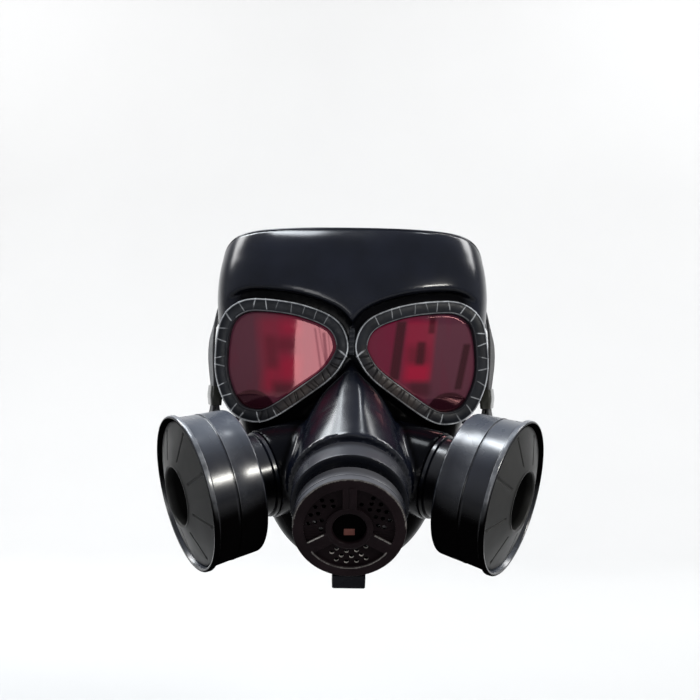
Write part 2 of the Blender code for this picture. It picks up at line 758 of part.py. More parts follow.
def valve_cover(material) -> bpy.types.Object:
    """The disc on the snout: three recessed perforated fields between spokes, round a hub with a slot."""
    profile = (
        (-PLATE_THICKNESS, SNOUT_RADIUS),
        (-PLATE_BEVEL, SNOUT_RADIUS),
        (0, SNOUT_RADIUS - PLATE_BEVEL),
        (0, FIELD_OUTER),
        (-FIELD_DEPTH, FIELD_OUTER),
        (-FIELD_DEPTH, FIELD_INNER),
        (HUB_RISE, FIELD_INNER - HUB_RISE),
        (HUB_RISE, HUB_HOLE + HUB_RISE),
        (-HUB_DEPTH, HUB_HOLE),
        (-HUB_DEPTH, 0),
        (-HUB_DEPTH - FIELD_FLOOR, 0),
        (-HUB_DEPTH - FIELD_FLOOR, HUB_HOLE + HUB_WALL),
        (-FIELD_DEPTH - FIELD_FLOOR, HUB_HOLE + HUB_WALL),
        (-FIELD_DEPTH - FIELD_FLOOR, SNOUT_RADIUS - WALL - GAP),
        (-PLATE_THICKNESS, SNOUT_RADIUS - WALL - GAP),
    )
    cover = turned("valve_cover", profile, SNOUT_FACE, SNOUT_AXIS, PLATE_SIDES)
    for spoke in range(SPOKE_COUNT):
        turn = 2 * math.pi * spoke / SPOKE_COUNT
        outward = math.sin(turn) * RIGHT + math.cos(turn) * SNOUT_UP
        across = math.cos(turn) * RIGHT - math.sin(turn) * SNOUT_UP
        middle = SNOUT_FACE + (FIELD_INNER + FIELD_OUTER) / 2 * outward - SPOKE_DEPTH / 2 * SNOUT_AXIS
        reach = (FIELD_OUTER - FIELD_INNER) / 2 + SPOKE_OVERLAP
        half = (SPOKE_WIDTH / 2, reach, (SPOKE_DEPTH - SPOKE_DROP) / 2)
        combine(cover, block("spoke", middle, half, (across, outward, SNOUT_AXIS)), "UNION")
    slot = SNOUT_FACE - HUB_DEPTH * SNOUT_AXIS - SLOT_DROP * SNOUT_UP
    half = (SLOT_WIDTH / 2, SLOT_HEIGHT / 2, 2 * FIELD_FLOOR)
    combine(cover, block("slot", slot, half, (RIGHT, SNOUT_UP, SNOUT_AXIS)), "DIFFERENCE")
    for field in range(SPOKE_COUNT):
        middle_turn = 2 * math.pi * (field + 0.5) / SPOKE_COUNT
        for row, radius in enumerate(HOLE_ROWS):
            for hole in range(HOLES_IN_ROW):
                stagger = HOLE_STAGGER if row % 2 else -HOLE_STAGGER
                shift = (hole - (HOLES_IN_ROW - 1) / 2 + stagger) * HOLE_STEP
                turn = middle_turn + shift * HOLE_ROWS[1] / radius
                front = SNOUT_FACE + radius * (math.sin(turn) * RIGHT + math.cos(turn) * SNOUT_UP)
                back = front - (HUB_DEPTH + FIELD_DEPTH) * SNOUT_AXIS
                combine(cover, rod("hole", back, front, HOLE_RADIUS, HOLE_SIDES), "DIFFERENCE")
    tidy_mesh(cover, FINE_MERGE)
    cover.data.materials.append(material)
    return cover


def canister_body(name: str, side: int, material) -> bpy.types.Object:
    """A drum: a cup with a hole for the collar in its inner end and a bead at its rim."""
    start, axis = drum_frame(side)
    taper = (DRUM_RADIUS - DRUM_BACK_RADIUS) / DRUM_LENGTH
    groove = DRUM_BACK_RADIUS + taper * GROOVE_PLACE
    profile = (
        (0, AIR_RADIUS),
        (0, DRUM_BACK_RADIUS - DRUM_BEVEL),
        (DRUM_BEVEL, DRUM_BACK_RADIUS),
        (GROOVE_PLACE, groove),
        (GROOVE_PLACE + GROOVE_SLOPE, groove - GROOVE_DEPTH),
        (GROOVE_PLACE + GROOVE_WIDTH, groove - GROOVE_DEPTH),
        (GROOVE_PLACE + GROOVE_WIDTH + GROOVE_SLOPE, groove),
        (DRUM_LENGTH - DRUM_RIM_WIDTH, DRUM_RADIUS),
        (DRUM_LENGTH - DRUM_RIM_WIDTH + GROOVE_SLOPE, DRUM_RIM_RADIUS),
        (DRUM_LENGTH, DRUM_RIM_RADIUS),
        (DRUM_LENGTH, DRUM_RIM_RADIUS - RIM_WALL),
        (DRUM_WALL, DRUM_BACK_RADIUS - RIM_WALL),
        (DRUM_WALL, AIR_RADIUS),
    )
    return turned(name, profile, start, axis, DRUM_SIDES, material)


def canister_cover(name: str, side: int, material) -> bpy.types.Object:
    """The drum's front: a shallow cone with radial grooves, and a tube that runs in from its middle."""
    start, axis = drum_frame(side)
    outer = DRUM_RIM_RADIUS - RIM_WALL - 4 * GAP
    seat = DRUM_LENGTH - COVER_SEAT
    top = seat + COVER_RISE
    profile = (
        (seat, outer),
        (top, COVER_HOLE_RADIUS + LIP_ROUND),
        (top - LIP_ROUND, COVER_HOLE_RADIUS),
        (top - TUBE_DEPTH, COVER_HOLE_RADIUS - TUBE_TAPER),
        (top - TUBE_DEPTH, COVER_HOLE_RADIUS + TUBE_WALL - TUBE_TAPER),
        (top - 2 * COVER_WALL, COVER_HOLE_RADIUS + TUBE_WALL),
        (seat - COVER_WALL, outer - GAP),
    )
    cover = turned(name, profile, start, axis, DRUM_SIDES)
    level, upright = frame_of(axis)
    slope = math.atan2(COVER_RISE, outer - COVER_HOLE_RADIUS)
    for groove in range(COVER_GROOVES):
        turn = 2 * math.pi * (groove + 0.5) / COVER_GROOVES
        outward = math.cos(turn) * level + math.sin(turn) * upright
        across = np.cross(axis, outward)
        along = math.cos(slope) * outward - math.sin(slope) * axis
        normal = math.sin(slope) * outward + math.cos(slope) * axis
        radius = (COVER_GROOVE_INNER + COVER_GROOVE_OUTER) / 2
        lift = top - (radius - COVER_HOLE_RADIUS) * math.tan(slope)
        half = ((COVER_GROOVE_OUTER - COVER_GROOVE_INNER) / 2, COVER_GROOVE_WIDTH / 2, COVER_GROOVE_DEPTH)
        cutter = block("groove", start + lift * axis + radius * outward, half, (along, across, normal))
        combine(cover, cutter, "DIFFERENCE")
    tidy_mesh(cover, FINE_MERGE)
    cover.data.materials.append(material)
    return cover


def neck_collar(name: str, side: int, material) -> bpy.types.Object:
    """The ring between a drum and the cheek, with a flange on the cheek's side."""
    start, axis = drum_frame(side)
    inner = start - COLLAR_LENGTH * axis
    length = COLLAR_LENGTH - GAP
    bore = AIR_RADIUS + AIR_PLAY / 2
    profile = (
        (0, bore),
        (0, COLLAR_RADIUS + FLANGE_RISE),
        (FLANGE_WIDTH, COLLAR_RADIUS + FLANGE_RISE),
        (FLANGE_WIDTH + GROOVE_SLOPE, COLLAR_RADIUS),
        (length, COLLAR_RADIUS),
        (length, bore),
    )
    return turned(name, profile, inner, axis, COLLAR_SIDES, material)


def bridge_strip(material) -> bpy.types.Object:
    """The ribbed strip that stands between the two goggle rims."""
    points = []
    levels = 2 * BRIDGE_RIBS + 1
    for level in range(levels):
        height = BRIDGE_BOTTOM + (BRIDGE_TOP - BRIDGE_BOTTOM) * level / (levels - 1)
        front = BRIDGE_FRONT + (BRIDGE_RIB_HEIGHT if level % 2 == 0 else 0)
        points += [
            (-BRIDGE_BACK_HALF, BRIDGE_BACK, height),
            (BRIDGE_BACK_HALF, BRIDGE_BACK, height),
            (BRIDGE_FRONT_HALF, front, height),
            (-BRIDGE_FRONT_HALF, front, height),
        ]
    faces = [(0, 1, 2, 3), tuple(4 * levels - 1 - i for i in range(4))]
    for level in range(levels - 1):
        for i in range(4):
            j = (i + 1) % 4
            faces.append((4 * level + i, 4 * level + j, 4 * level + 4 + j, 4 * level + 4 + i))
    return add_mesh("bridge_strip", points, faces, material)


def strap_line() -> tuple:
    """The right half of the strap's middle line, from its tail to the back, and its face directions."""
    outward, _ = strap_frame(1)
    line, faces = [], []
    for height in (STRAP_TAIL, SLIDER_RISE + SLIDER_HEIGHT / 2, SLIDER_RISE - SLIDER_HEIGHT / 2):
        line.append(LOOP_BAR - LAYER_SPACING / 2 * outward + height * UP)
        faces.append(-outward)
    for step in range(TURN_STEPS + 1):
        turn = math.pi * step / TURN_STEPS
        way = -math.cos(turn) * outward - math.sin(turn) * UP
        line.append(LOOP_BAR + (LAYER_SPACING / 2 + TURN_PLAY) * way)
        faces.append(way)
    for height in (SLIDER_RISE - SLIDER_HEIGHT / 2, SLIDER_RISE + SLIDER_HEIGHT / 2):
        line.append(LOOP_BAR + LAYER_SPACING / 2 * outward + height * UP)
        faces.append(outward)
    keys = np.vstack([line[-2:], np.array(STRAP_ROUTE) * MM, np.array(STRAP_ROUTE[-2]) * MM * [-1, 1, 1]])
    for i in range(1, len(keys) - 2):
        a, b, c, d = keys[i - 1 : i + 3]
        for step in range(1, ROUTE_STEPS + 1):
            t = step / ROUTE_STEPS
            point = curve_point(a, b, c, d, t)
            share = min(1.0, (i - 1 + t) / ROUTE_STEPS)
            away = (point - HEAD_CENTRE) * [HEAD_LENGTHENING, 1, 0]
            away = share * away / np.linalg.norm(away) + (1 - share) * outward
            line.append(point)
            faces.append(away)
    return np.array(line), np.array(faces)


def head_strap(material) -> bpy.types.Object:
    """The flat elastic strap: through both sliders and loops, and round the back of the head."""
    line, faces_out = strap_line()
    mirror = np.array([-1, 1, 1])
    line = np.vstack([line, line[-2::-1] * mirror])
    faces_out = np.vstack([faces_out, faces_out[-2::-1] * mirror])
    tangents = np.gradient(line, axis=0)
    points = []
    for point, tangent, out in zip(line, tangents, faces_out):
        tangent = tangent / np.linalg.norm(tangent)
        out = out - (out @ tangent) * tangent
        out = out / np.linalg.norm(out)
        width = np.cross(tangent, out)
        for a, b in ((-1, -1), (1, -1), (1, 1), (-1, 1)):
            points.append(point + a * STRAP_WIDTH / 2 * width + b * STRAP_THICKNESS / 2 * out)
    last = len(line) - 1
    faces = [(0, 1, 2, 3), tuple(4 * last + 3 - i for i in range(4))]
    for level in range(last):
        for i in range(4):
            j = (i + 1) % 4
            faces.append((4 * level + i, 4 * level + j, 4 * level + 4 + j, 4 * level + 4 + i))
    return add_mesh("head_strap", points, faces, material)


def strap_slider(name: str, side: int, material) -> bpy.types.Object:
    """The slotted block that holds the strap's two layers together."""
    outward, along = strap_frame(side)
    middle = on_side(LOOP_BAR, side) + SLIDER_RISE * UP
    window = ((LAYER_SPACING + STRAP_THICKNESS) / 2 + SLIDER_PLAY, STRAP_WIDTH / 2 + SLIDER_PLAY)
    rings = []
    for lift, grow in ((-0.5, SLIDER_CHAMFER), (-0.38, 1.0), (0.38, 1.0), (0.5, SLIDER_CHAMFER)):
        ring = []
        reach = [size + SLIDER_WALL * grow for size in window]
        for a, b in ((-1, -0.8), (-0.6, -1), (0.6, -1), (1, -0.8), (1, 0.8), (0.6, 1), (-0.6, 1), (-1, 0.8)):
            ring.append(middle + a * reach[0] * outward + b * reach[1] * along + lift * SLIDER_HEIGHT * UP)
        rings.append(ring)
    points = [point for ring in rings for point in ring]
    faces = [tuple(range(8)), tuple(31 - i for i in range(8))]
    for level in range(3):
        for i in range(8):
            j = (i + 1) % 8
            faces.append((8 * level + i, 8 * level + j, 8 * level + 8 + j, 8 * level + 8 + i))
    slider = add_mesh(name, points, faces)
    cutter = block("window", middle, (window[0], window[1], SLIDER_HEIGHT), (outward, along, UP))
    combine(slider, cutter, "DIFFERENCE")
    tidy_mesh(slider)
    slider.data.materials.append(material)
    return slider


def build() -> None:
    """Model every piece in its own place."""
    clear_scene()
    black = plastic("black_plastic", (0.018, 0.019, 0.022), 0.35)
    rim_black = plastic("rim_rubber", (0.035, 0.035, 0.038), 0.55)
    red = plastic("red_lens", (0.32, 0.01, 0.03), 0.1)
    webbing = plastic("strap_webbing", (0.012, 0.012, 0.014), 0.85)
    slider_grey = plastic("slider_plastic", (0.06, 0.062, 0.055), 0.5)
    face_shell(black)
    for name, side in SIDES:
        goggle_rim(f"goggle_rim_{name}", side, rim_black)
        lens(f"lens_{name}", side, red)
        canister_body(f"canister_body_{name}", side, black)
        canister_cover(f"canister_cover_{name}", side, black)
        neck_collar(f"neck_collar_{name}", side, black)
        strap_slider(f"strap_slider_{name}", side, slider_grey)
    valve_cover(black)
    bridge_strip(rim_black)
    head_strap(webbing)


build()
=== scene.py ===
"""Dresses the gas mask style costume mask: moulded shell, goggles, valve cover, filter drums and head strap.

Lengths are metres. The frame is the part's own: +X to the right as seen from the front, +Y towards
the back of the head, +Z up, and the origin at the seat on the bridge of the nose.
"""

import logging
import math
from dataclasses import dataclass, field
from enum import Enum
from typing import Callable, Iterable, Sequence

import bmesh
import bpy
import numpy as np
from mathutils import Matrix, Vector


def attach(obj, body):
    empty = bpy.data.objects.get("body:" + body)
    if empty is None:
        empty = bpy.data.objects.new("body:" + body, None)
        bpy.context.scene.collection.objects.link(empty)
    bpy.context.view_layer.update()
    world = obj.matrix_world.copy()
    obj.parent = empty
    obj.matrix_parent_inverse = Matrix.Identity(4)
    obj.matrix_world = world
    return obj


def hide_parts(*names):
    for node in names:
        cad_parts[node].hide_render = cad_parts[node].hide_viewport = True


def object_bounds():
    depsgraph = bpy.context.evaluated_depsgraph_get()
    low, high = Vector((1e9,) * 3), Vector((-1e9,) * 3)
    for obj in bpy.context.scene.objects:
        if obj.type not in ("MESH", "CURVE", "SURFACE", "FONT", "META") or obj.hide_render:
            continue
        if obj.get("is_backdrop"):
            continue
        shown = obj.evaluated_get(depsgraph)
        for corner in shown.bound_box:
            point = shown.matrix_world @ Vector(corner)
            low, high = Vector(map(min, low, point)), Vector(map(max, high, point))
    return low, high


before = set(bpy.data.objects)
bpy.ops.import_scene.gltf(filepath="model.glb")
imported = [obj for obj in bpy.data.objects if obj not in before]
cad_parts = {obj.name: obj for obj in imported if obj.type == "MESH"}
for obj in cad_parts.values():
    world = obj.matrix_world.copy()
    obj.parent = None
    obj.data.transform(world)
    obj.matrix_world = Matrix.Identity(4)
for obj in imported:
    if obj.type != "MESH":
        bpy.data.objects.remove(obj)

LOG = logging.getLogger("mask")
BODY = "root"

MM = 0.001
GAP = 0.3 * MM
SEED = 7
SMOOTH_ANGLE = math.radians(38)

RIGHT = np.array([1.0, 0.0, 0.0])
UP = np.array([0.0, 0.0, 1.0])

# Soft areas of painted light (positive strength) and painted shade (negative strength) on the right lens.
RIGHT_PAINTED_LIGHT_AND_SHADE = (
    (43.8, 0.0, 9.6, 20.0, 0.10, 2.0, 0.45),
    (43.0, -14.0, 7.2, 5.5, 0.10, 2.5, 0.9),
    (43.0, -3.0, 7.0, 6.2, 0.0, 3.0, -0.40),
    (45.0, -1.5, 2.8, 7.5, 0.10, 1.3, -0.75),
    (44.5, -25.0, 7.0, 4.5, 0.0, 2.5, -0.6),
    (30.0, 0.0, 3.2, 19.0, 0.13, 1.0, -0.8),
    (52.5, 17.5, 2.0, 6.0, 0.10, 1.0, -0.7),
    (73.0, -10.0, 2.4, 15.0, 0.20, 0.9, -0.85),
)
# Painted light and painted shade on the left lens.
LEFT_PAINTED_LIGHT_AND_SHADE = (
    (47.0, -3.0, 13.0, 24.0, 0.08, 4.0, 0.42),
    (40.5, -13.0, 6.0, 7.5, -0.10, 4.0, 0.8),
    (53.0, -20.0, 4.5, 9.0, -0.20, 3.5, 0.5),
    (40.0, 14.0, 6.5, 4.5, 0.10, 3.5, 0.5),
    (52.5, -2.0, 4.0, 11.0, 0.10, 2.5, -0.40),
    (42.5, 3.0, 6.5, 4.5, 0.0, 3.0, -0.40),
    (42.0, -26.0, 9.0, 4.5, 0.3, 2.5, -0.55),
)
RIGHT_STREAKS = (
    (60.0, 26.5, 24.0, 8.5, 0.0, 1.5, 0.85),
)
LEFT_STREAKS = (
    (21.5, -2.0, 0.7, 16.0, 0.16, 0.5, 0.45),
    (19.0, 2.0, 0.5, 16.0, 0.20, 0.4, 0.35),
    (17.0, 0.0, 1.0, 11.0, 0.12, 0.5, 0.55),
    (14.5, 2.0, 0.4, 9.0, 0.10, 0.3, 0.3),
)

Field = Callable[[np.ndarray], np.ndarray]


class Side(Enum):
    """The two sides of the mask, by the sign of X."""

    LEFT = -1
    RIGHT = 1

    @property
    def label(self) -> str:
        """The side's word in a node's name."""
        return self.name.lower()

    def place(self, points: np.ndarray) -> np.ndarray:
        """Points of the right side, mirrored where this is the left side."""
        return np.asarray(points) * np.array([self.value, 1.0, 1.0])


def unit(vector: Sequence[float]) -> np.ndarray:
    """The vector with a length of one."""
    vector = np.asarray(vector, dtype=float)
    return vector / np.linalg.norm(vector)


def curve_points(keys: np.ndarray, steps: int, closed: bool) -> np.ndarray:
    """Points on the smooth curve through some key points.

    Args:
        keys: The key points, one a row.
        steps: How many points stand for each stretch between two keys.
        closed: Whether the curve runs back to its start.

    Returns:
        The curve's points, one a row, with the last key where the curve is open.
    """
    count = len(keys)
    stretches = count if closed else count - 1
    line = []
    for i in range(stretches):
        if closed:
            a, b, c, d = (keys[(i + k) % count] for k in (-1, 0, 1, 2))
        else:
            a, b, c, d = (keys[min(max(i + k, 0), count - 1)] for k in (-1, 0, 1, 2))
        for t in np.arange(steps) / steps:
            line.append(
                0.5 * (2 * b + (c - a) * t + (2 * a - 5 * b + 4 * c - d) * t**2 + (3 * b - a - 3 * c + d)
                       * t**3)
            )
    if not closed:
        line.append(keys[-1])
    return np.array(line)


def read_rows(rows: np.ndarray, places: np.ndarray, column: int) -> np.ndarray:
    """Read one column of a table in millimetres at any places along its first column.

    Args:
        rows: The table, whose first column rises.
        places: Where to read it, in metres.
        column: The column that is read.

    Returns:
        The values on a smooth curve, in metres.
    """
    keys, values = rows[:, 0] * MM, rows[:, column] * MM
    slopes = np.gradient(values, keys)
    places = np.clip(places, keys[0], keys[-1])
    span = np.clip(np.searchsorted(keys, places, side="right") - 1, 0, len(keys) - 2)
    width = keys[span + 1] - keys[span]
    t = (places - keys[span]) / width
    start = (2 * t**3 - 3 * t**2 + 1) * values[span] + (t**3 - 2 * t**2 + t) * width * slopes[span]
    end = (-2 * t**3 + 3 * t**2) * values[span + 1] + (t**3 - t**2) * width * slopes[span + 1]
    return start + end


def join(a: np.ndarray, b: np.ndarray, blend: float) -> np.ndarray:
    """Two solids' distances as one solid's, rounded by blend in the corner between them."""
    near = np.maximum(blend - np.abs(a - b), 0.0) / blend
    return np.minimum(a, b) - near**2 * blend / 4


def cut(a: np.ndarray, b: np.ndarray, blend: float) -> np.ndarray:
    """Distance of a solid with another taken out of it, its new edge rounded by blend."""
    return -join(-a, b, blend)


def meet(a: np.ndarray, b: np.ndarray, blend: float) -> np.ndarray:
    """Distance of what two solids share, its edge rounded by blend."""
    return -join(-a, -b, blend)


def add_mesh(name: str, points: np.ndarray, faces: Sequence,
             material: bpy.types.Material) -> bpy.types.Object:
    """Make an object from points and faces and shade it smooth.

    Args:
        name: The object's name.
        points: Its corners, one a row.
        faces: Its faces, as rows of corner numbers.
        material: Its only material.

    Returns:
        The new object, linked to the scene.
    """
    mesh = bpy.data.meshes.new(name)
    mesh.from_pydata(np.asarray(points, dtype=float).tolist(), [], [tuple(face) for face in faces])
    mesh.update()
    work = bmesh.new()
    work.from_mesh(mesh)
    bmesh.ops.recalc_face_normals(work, faces=work.faces)
    work.to_mesh(mesh)
    work.free()
    mesh.shade_smooth()
    mesh.set_sharp_from_angle(angle=SMOOTH_ANGLE)
    mesh.materials.append(material)
    item = bpy.data.objects.new(name, mesh)
    bpy.context.scene.collection.objects.link(item)
    return item


def mark(item: bpy.types.Object, name: str, values: np.ndarray) -> None:
    """Keep a value from 0 to 1 for each corner of a mesh, for its finish to read."""
    layer = item.data.attributes.new(name, "FLOAT", "POINT")
    layer.data.foreach_set("value", np.asarray(values, dtype=np.float32).ravel())


def undersides(item: bpy.types.Object, start: float, full: float, most: float, way: int = 2) -> np.ndarray:
    """How far each corner of a mesh is turned down, as a share for its painted shade (and, subtracted, for a painted
    sheen on tops).

    Args:
        item: The piece.
        start: The upward part of the normal where the shade starts.
        full: The upward part where it is full.
        most: The full shade.
        way: Which part of the normal counts: 0 right, 1 back, 2 up.

    Returns:
        A value from 0 to most for each corner.
    """
    normals = np.empty(3 * len(item.data.vertices), dtype=np.float32)
    item.data.vertices.foreach_get("normal", normals)
    share = np.clip((start - normals[way::3]) / (start - full), 0, 1)
    return most * share * share * (3 - 2 * share)


def settle(item: bpy.types.Object, nodes: Iterable[str] = ()) -> bpy.types.Object:
    """Fasten a finished piece to the mask's body.

    Args:
        item: The piece.
        nodes: The CAD nodes that it stands for.

    Returns:
        The same piece.
    """
    nodes = tuple(nodes)
    if nodes:
        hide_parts(*nodes)
    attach(item, BODY)
    LOG.info("%s: %d faces", item.name, len(item.data.polygons))
    return item


def grid_faces(rows: int, columns: int, round_rows: bool, round_columns: bool) -> np.ndarray:
    """Faces of a sheet of points laid out row by row.

    Args:
        rows: The number of rows of points.
        columns: The number of points in a row.
        round_rows: Whether the last row joins the first.
        round_columns: Whether each row's last point joins its first.

    Returns:
        Four corner numbers for each face.
    """
    down = np.arange(rows if round_rows else rows - 1)
    across = np.arange(columns if round_columns else columns - 1)
    i, j = np.meshgrid(down, across, indexing="ij")
    i, j = i.ravel(), j.ravel()
    after_i, after_j = (i + 1) % rows, (j + 1) % columns
    return np.stack([i * columns + j, i * columns + after_j, after_i * columns + after_j,
                     after_i * columns + j], 1)


def turned(profile: Sequence, start: np.ndarray, axis: np.ndarray, level: np.ndarray, sides: int) -> tuple:
    """Points and faces of a closed profile turned about an axis.

    Args:
        profile: (along, radius) pairs.
        start: The point on the axis that along is measured from.
        axis: The axis's direction.
        level: A direction across the axis, where the turn starts.
        sides: How many points go round.

    Returns:
        The points, and the faces as rows of four corner numbers.
    """
    upright = np.cross(level, axis)
    turns = 2 * np.pi * np.arange(sides) / sides
    ways = np.cos(turns)[:, None] * level + np.sin(turns)[:, None] * upright
    rings = [start + along * axis + radius * ways for along, radius in profile]
    return np.vstack(rings), grid_faces(len(rings), sides, True, True)


def rounded(radius: float, along: float, size: float, start: float, end: float, steps: int) -> list:
    """Points of a round edge in a turned profile.

    Args:
        radius: The radius of the rounding's middle.
        along: Its place along the axis.
        size: The rounding's own radius.
        start: Its first angle in degrees, where 0 points away from the axis and 90 along it.
        end: Its last angle.
        steps: How many stretches it has.

    Returns:
        (along, radius) pairs.
    """
    angles = np.radians(np.linspace(start, end, steps + 1))
    return [(along + size * math.sin(angle), radius + size * math.cos(angle)) for angle in angles]


@dataclass
class Contour:
    """Turns a solid's distance field into a mesh, with one corner a cell set on the field's edges."""

    low: tuple
    high: tuple
    pitch: float
    hold: float = 0.12
    settles: int = 1
    axes: np.ndarray = field(default_factory=lambda: np.eye(3))
    origin: np.ndarray = field(default_factory=lambda: np.zeros(3))

    def _slope(self, solid: Field, points: np.ndarray) -> np.ndarray:
        """The field's direction of growth at some points."""
        step = 0.15 * self.pitch
        base = np.stack([solid(points + step * axis) - solid(points - step * axis) for axis in np.eye(3)], 1)
        return base / np.maximum(np.linalg.norm(base, axis=1), 1e-12)[:, None]

    def _values(self, solid: Field, lines: list, mirrored: bool) -> np.ndarray:
        """The field at the grid's points, from the right half alone where the two halves mirror."""
        shape = tuple(len(line) for line in lines)
        first = shape[0] // 2 if mirrored else 0
        values = np.empty(shape)
        for i in range(first, shape[0]):
            y, z = np.meshgrid(lines[1], lines[2], indexing="ij")
            points = np.stack([np.full(y.size, lines[0][i]), y.ravel(), z.ravel()], 1)
            values[i] = solid(points).reshape(y.shape)
            if mirrored:
                values[shape[0] - 1 - i] = values[i]
        return values

    def mesh(self, solid: Field, mirrored: bool = False) -> tuple:
        """Mesh the surface where the field is zero.

        Args:
            solid: The field, negative inside the solid, in this grid's own axes.
            mirrored: Whether the field is the same on both sides of X = 0.

        Returns:
            The corners in the row frame, and the faces as rows of four corner numbers.
        """
        lines = []
        for low, high in zip(self.low, self.high):
            half = math.ceil((high - low) / 2 / self.pitch)
            lines.append((low + high) / 2 + self.pitch * (np.arange(2 * half) - half + 0.5))
        values = self._values(solid, lines, mirrored)
        inside = values < 0
        corners = [inside[i:, j:, k:][: -1 if not i else None, : -1 if not j else None,
                                      : -1 if not k else None]
                   for i in (0, 1) for j in (0, 1) for k in (0, 1)]
        total = sum(corner.astype(np.int8) for corner in corners)
        active = (total > 0) & (total < 8)
        index = np.full(active.shape, -1)
        index[active] = np.arange(active.sum())
        count = int(active.sum())
        spread, pull = np.zeros((count, 3, 3)), np.zeros((count, 3))
        centre, weight = np.zeros((count, 3)), np.zeros(count)
        faces, crossings = [], []
        for axis in range(3):
            near, far = [slice(None)] * 3, [slice(None)] * 3
            near[axis], far[axis] = slice(None, -1), slice(1, None)
            place = np.argwhere(inside[tuple(near)] != inside[tuple(far)])
            others = [k for k in range(3) if k != axis]
            limit = np.array(active.shape)
            keep = np.all([(place[:, k] > 0) & (place[:, k] < limit[k]) for k in others], axis=0)
            place = place[keep]
            after = place.copy()
            after[:, axis] += 1
            a, b = values[tuple(place.T)], values[tuple(after.T)]
            share = a / (a - b)
            start = np.stack([lines[k][place[:, k]] for k in range(3)], 1)
            start[:, axis] += share * self.pitch
            normal = self._slope(solid, start)
            ring = []
            for shift_u, shift_v in ((0, 0), (-1, 0), (-1, -1), (0, -1)):
                cell = place.copy()
                cell[:, others[0]] += shift_u
                cell[:, others[1]] += shift_v
                ring.append(index[tuple(cell.T)])
            crossings.append((ring, start, normal))
            ring = np.stack(ring, 1)
            turn = (a < 0) if axis != 1 else (a >= 0)
            faces.append(np.where(turn[:, None], ring, ring[:, ::-1]))
            for cell in crossings[-1][0]:
                for k in range(3):
                    centre[:, k] += np.bincount(cell, start[:, k], count)
                weight += np.bincount(cell, minlength=count)
        centre /= np.maximum(weight, 1)[:, None]
        for ring, start, normal in crossings:
            for cell in ring:
                lift = ((start - centre[cell]) * normal).sum(1)
                for i in range(3):
                    pull[:, i] += np.bincount(cell, normal[:, i] * lift, count)
                    for j in range(3):
                        spread[:, i, j] += np.bincount(cell, normal[:, i] * normal[:, j], count)
        spread += np.eye(3) * (self.hold * np.maximum(weight, 1))[:, None, None]
        move = np.linalg.solve(spread, pull[:, :, None])[:, :, 0]
        cells = np.argwhere(active)
        middle = np.stack([lines[k][cells[:, k]] + self.pitch / 2 for k in range(3)], 1)
        points = np.clip(centre + move, middle - 0.6 * self.pitch, middle + 0.6 * self.pitch)
        for _ in range(self.settles):
            slope = self._slope(solid, points)
            level = solid(points)
            rate = (solid(points + 0.1 * self.pitch * slope) - level) / (0.1 * self.pitch)
            step = np.clip(level / np.maximum(rate, 0.4), -0.3 * self.pitch, 0.3 * self.pitch)
            points = points - step[:, None] * slope
        return self.origin + points @ self.axes, np.concatenate(faces)


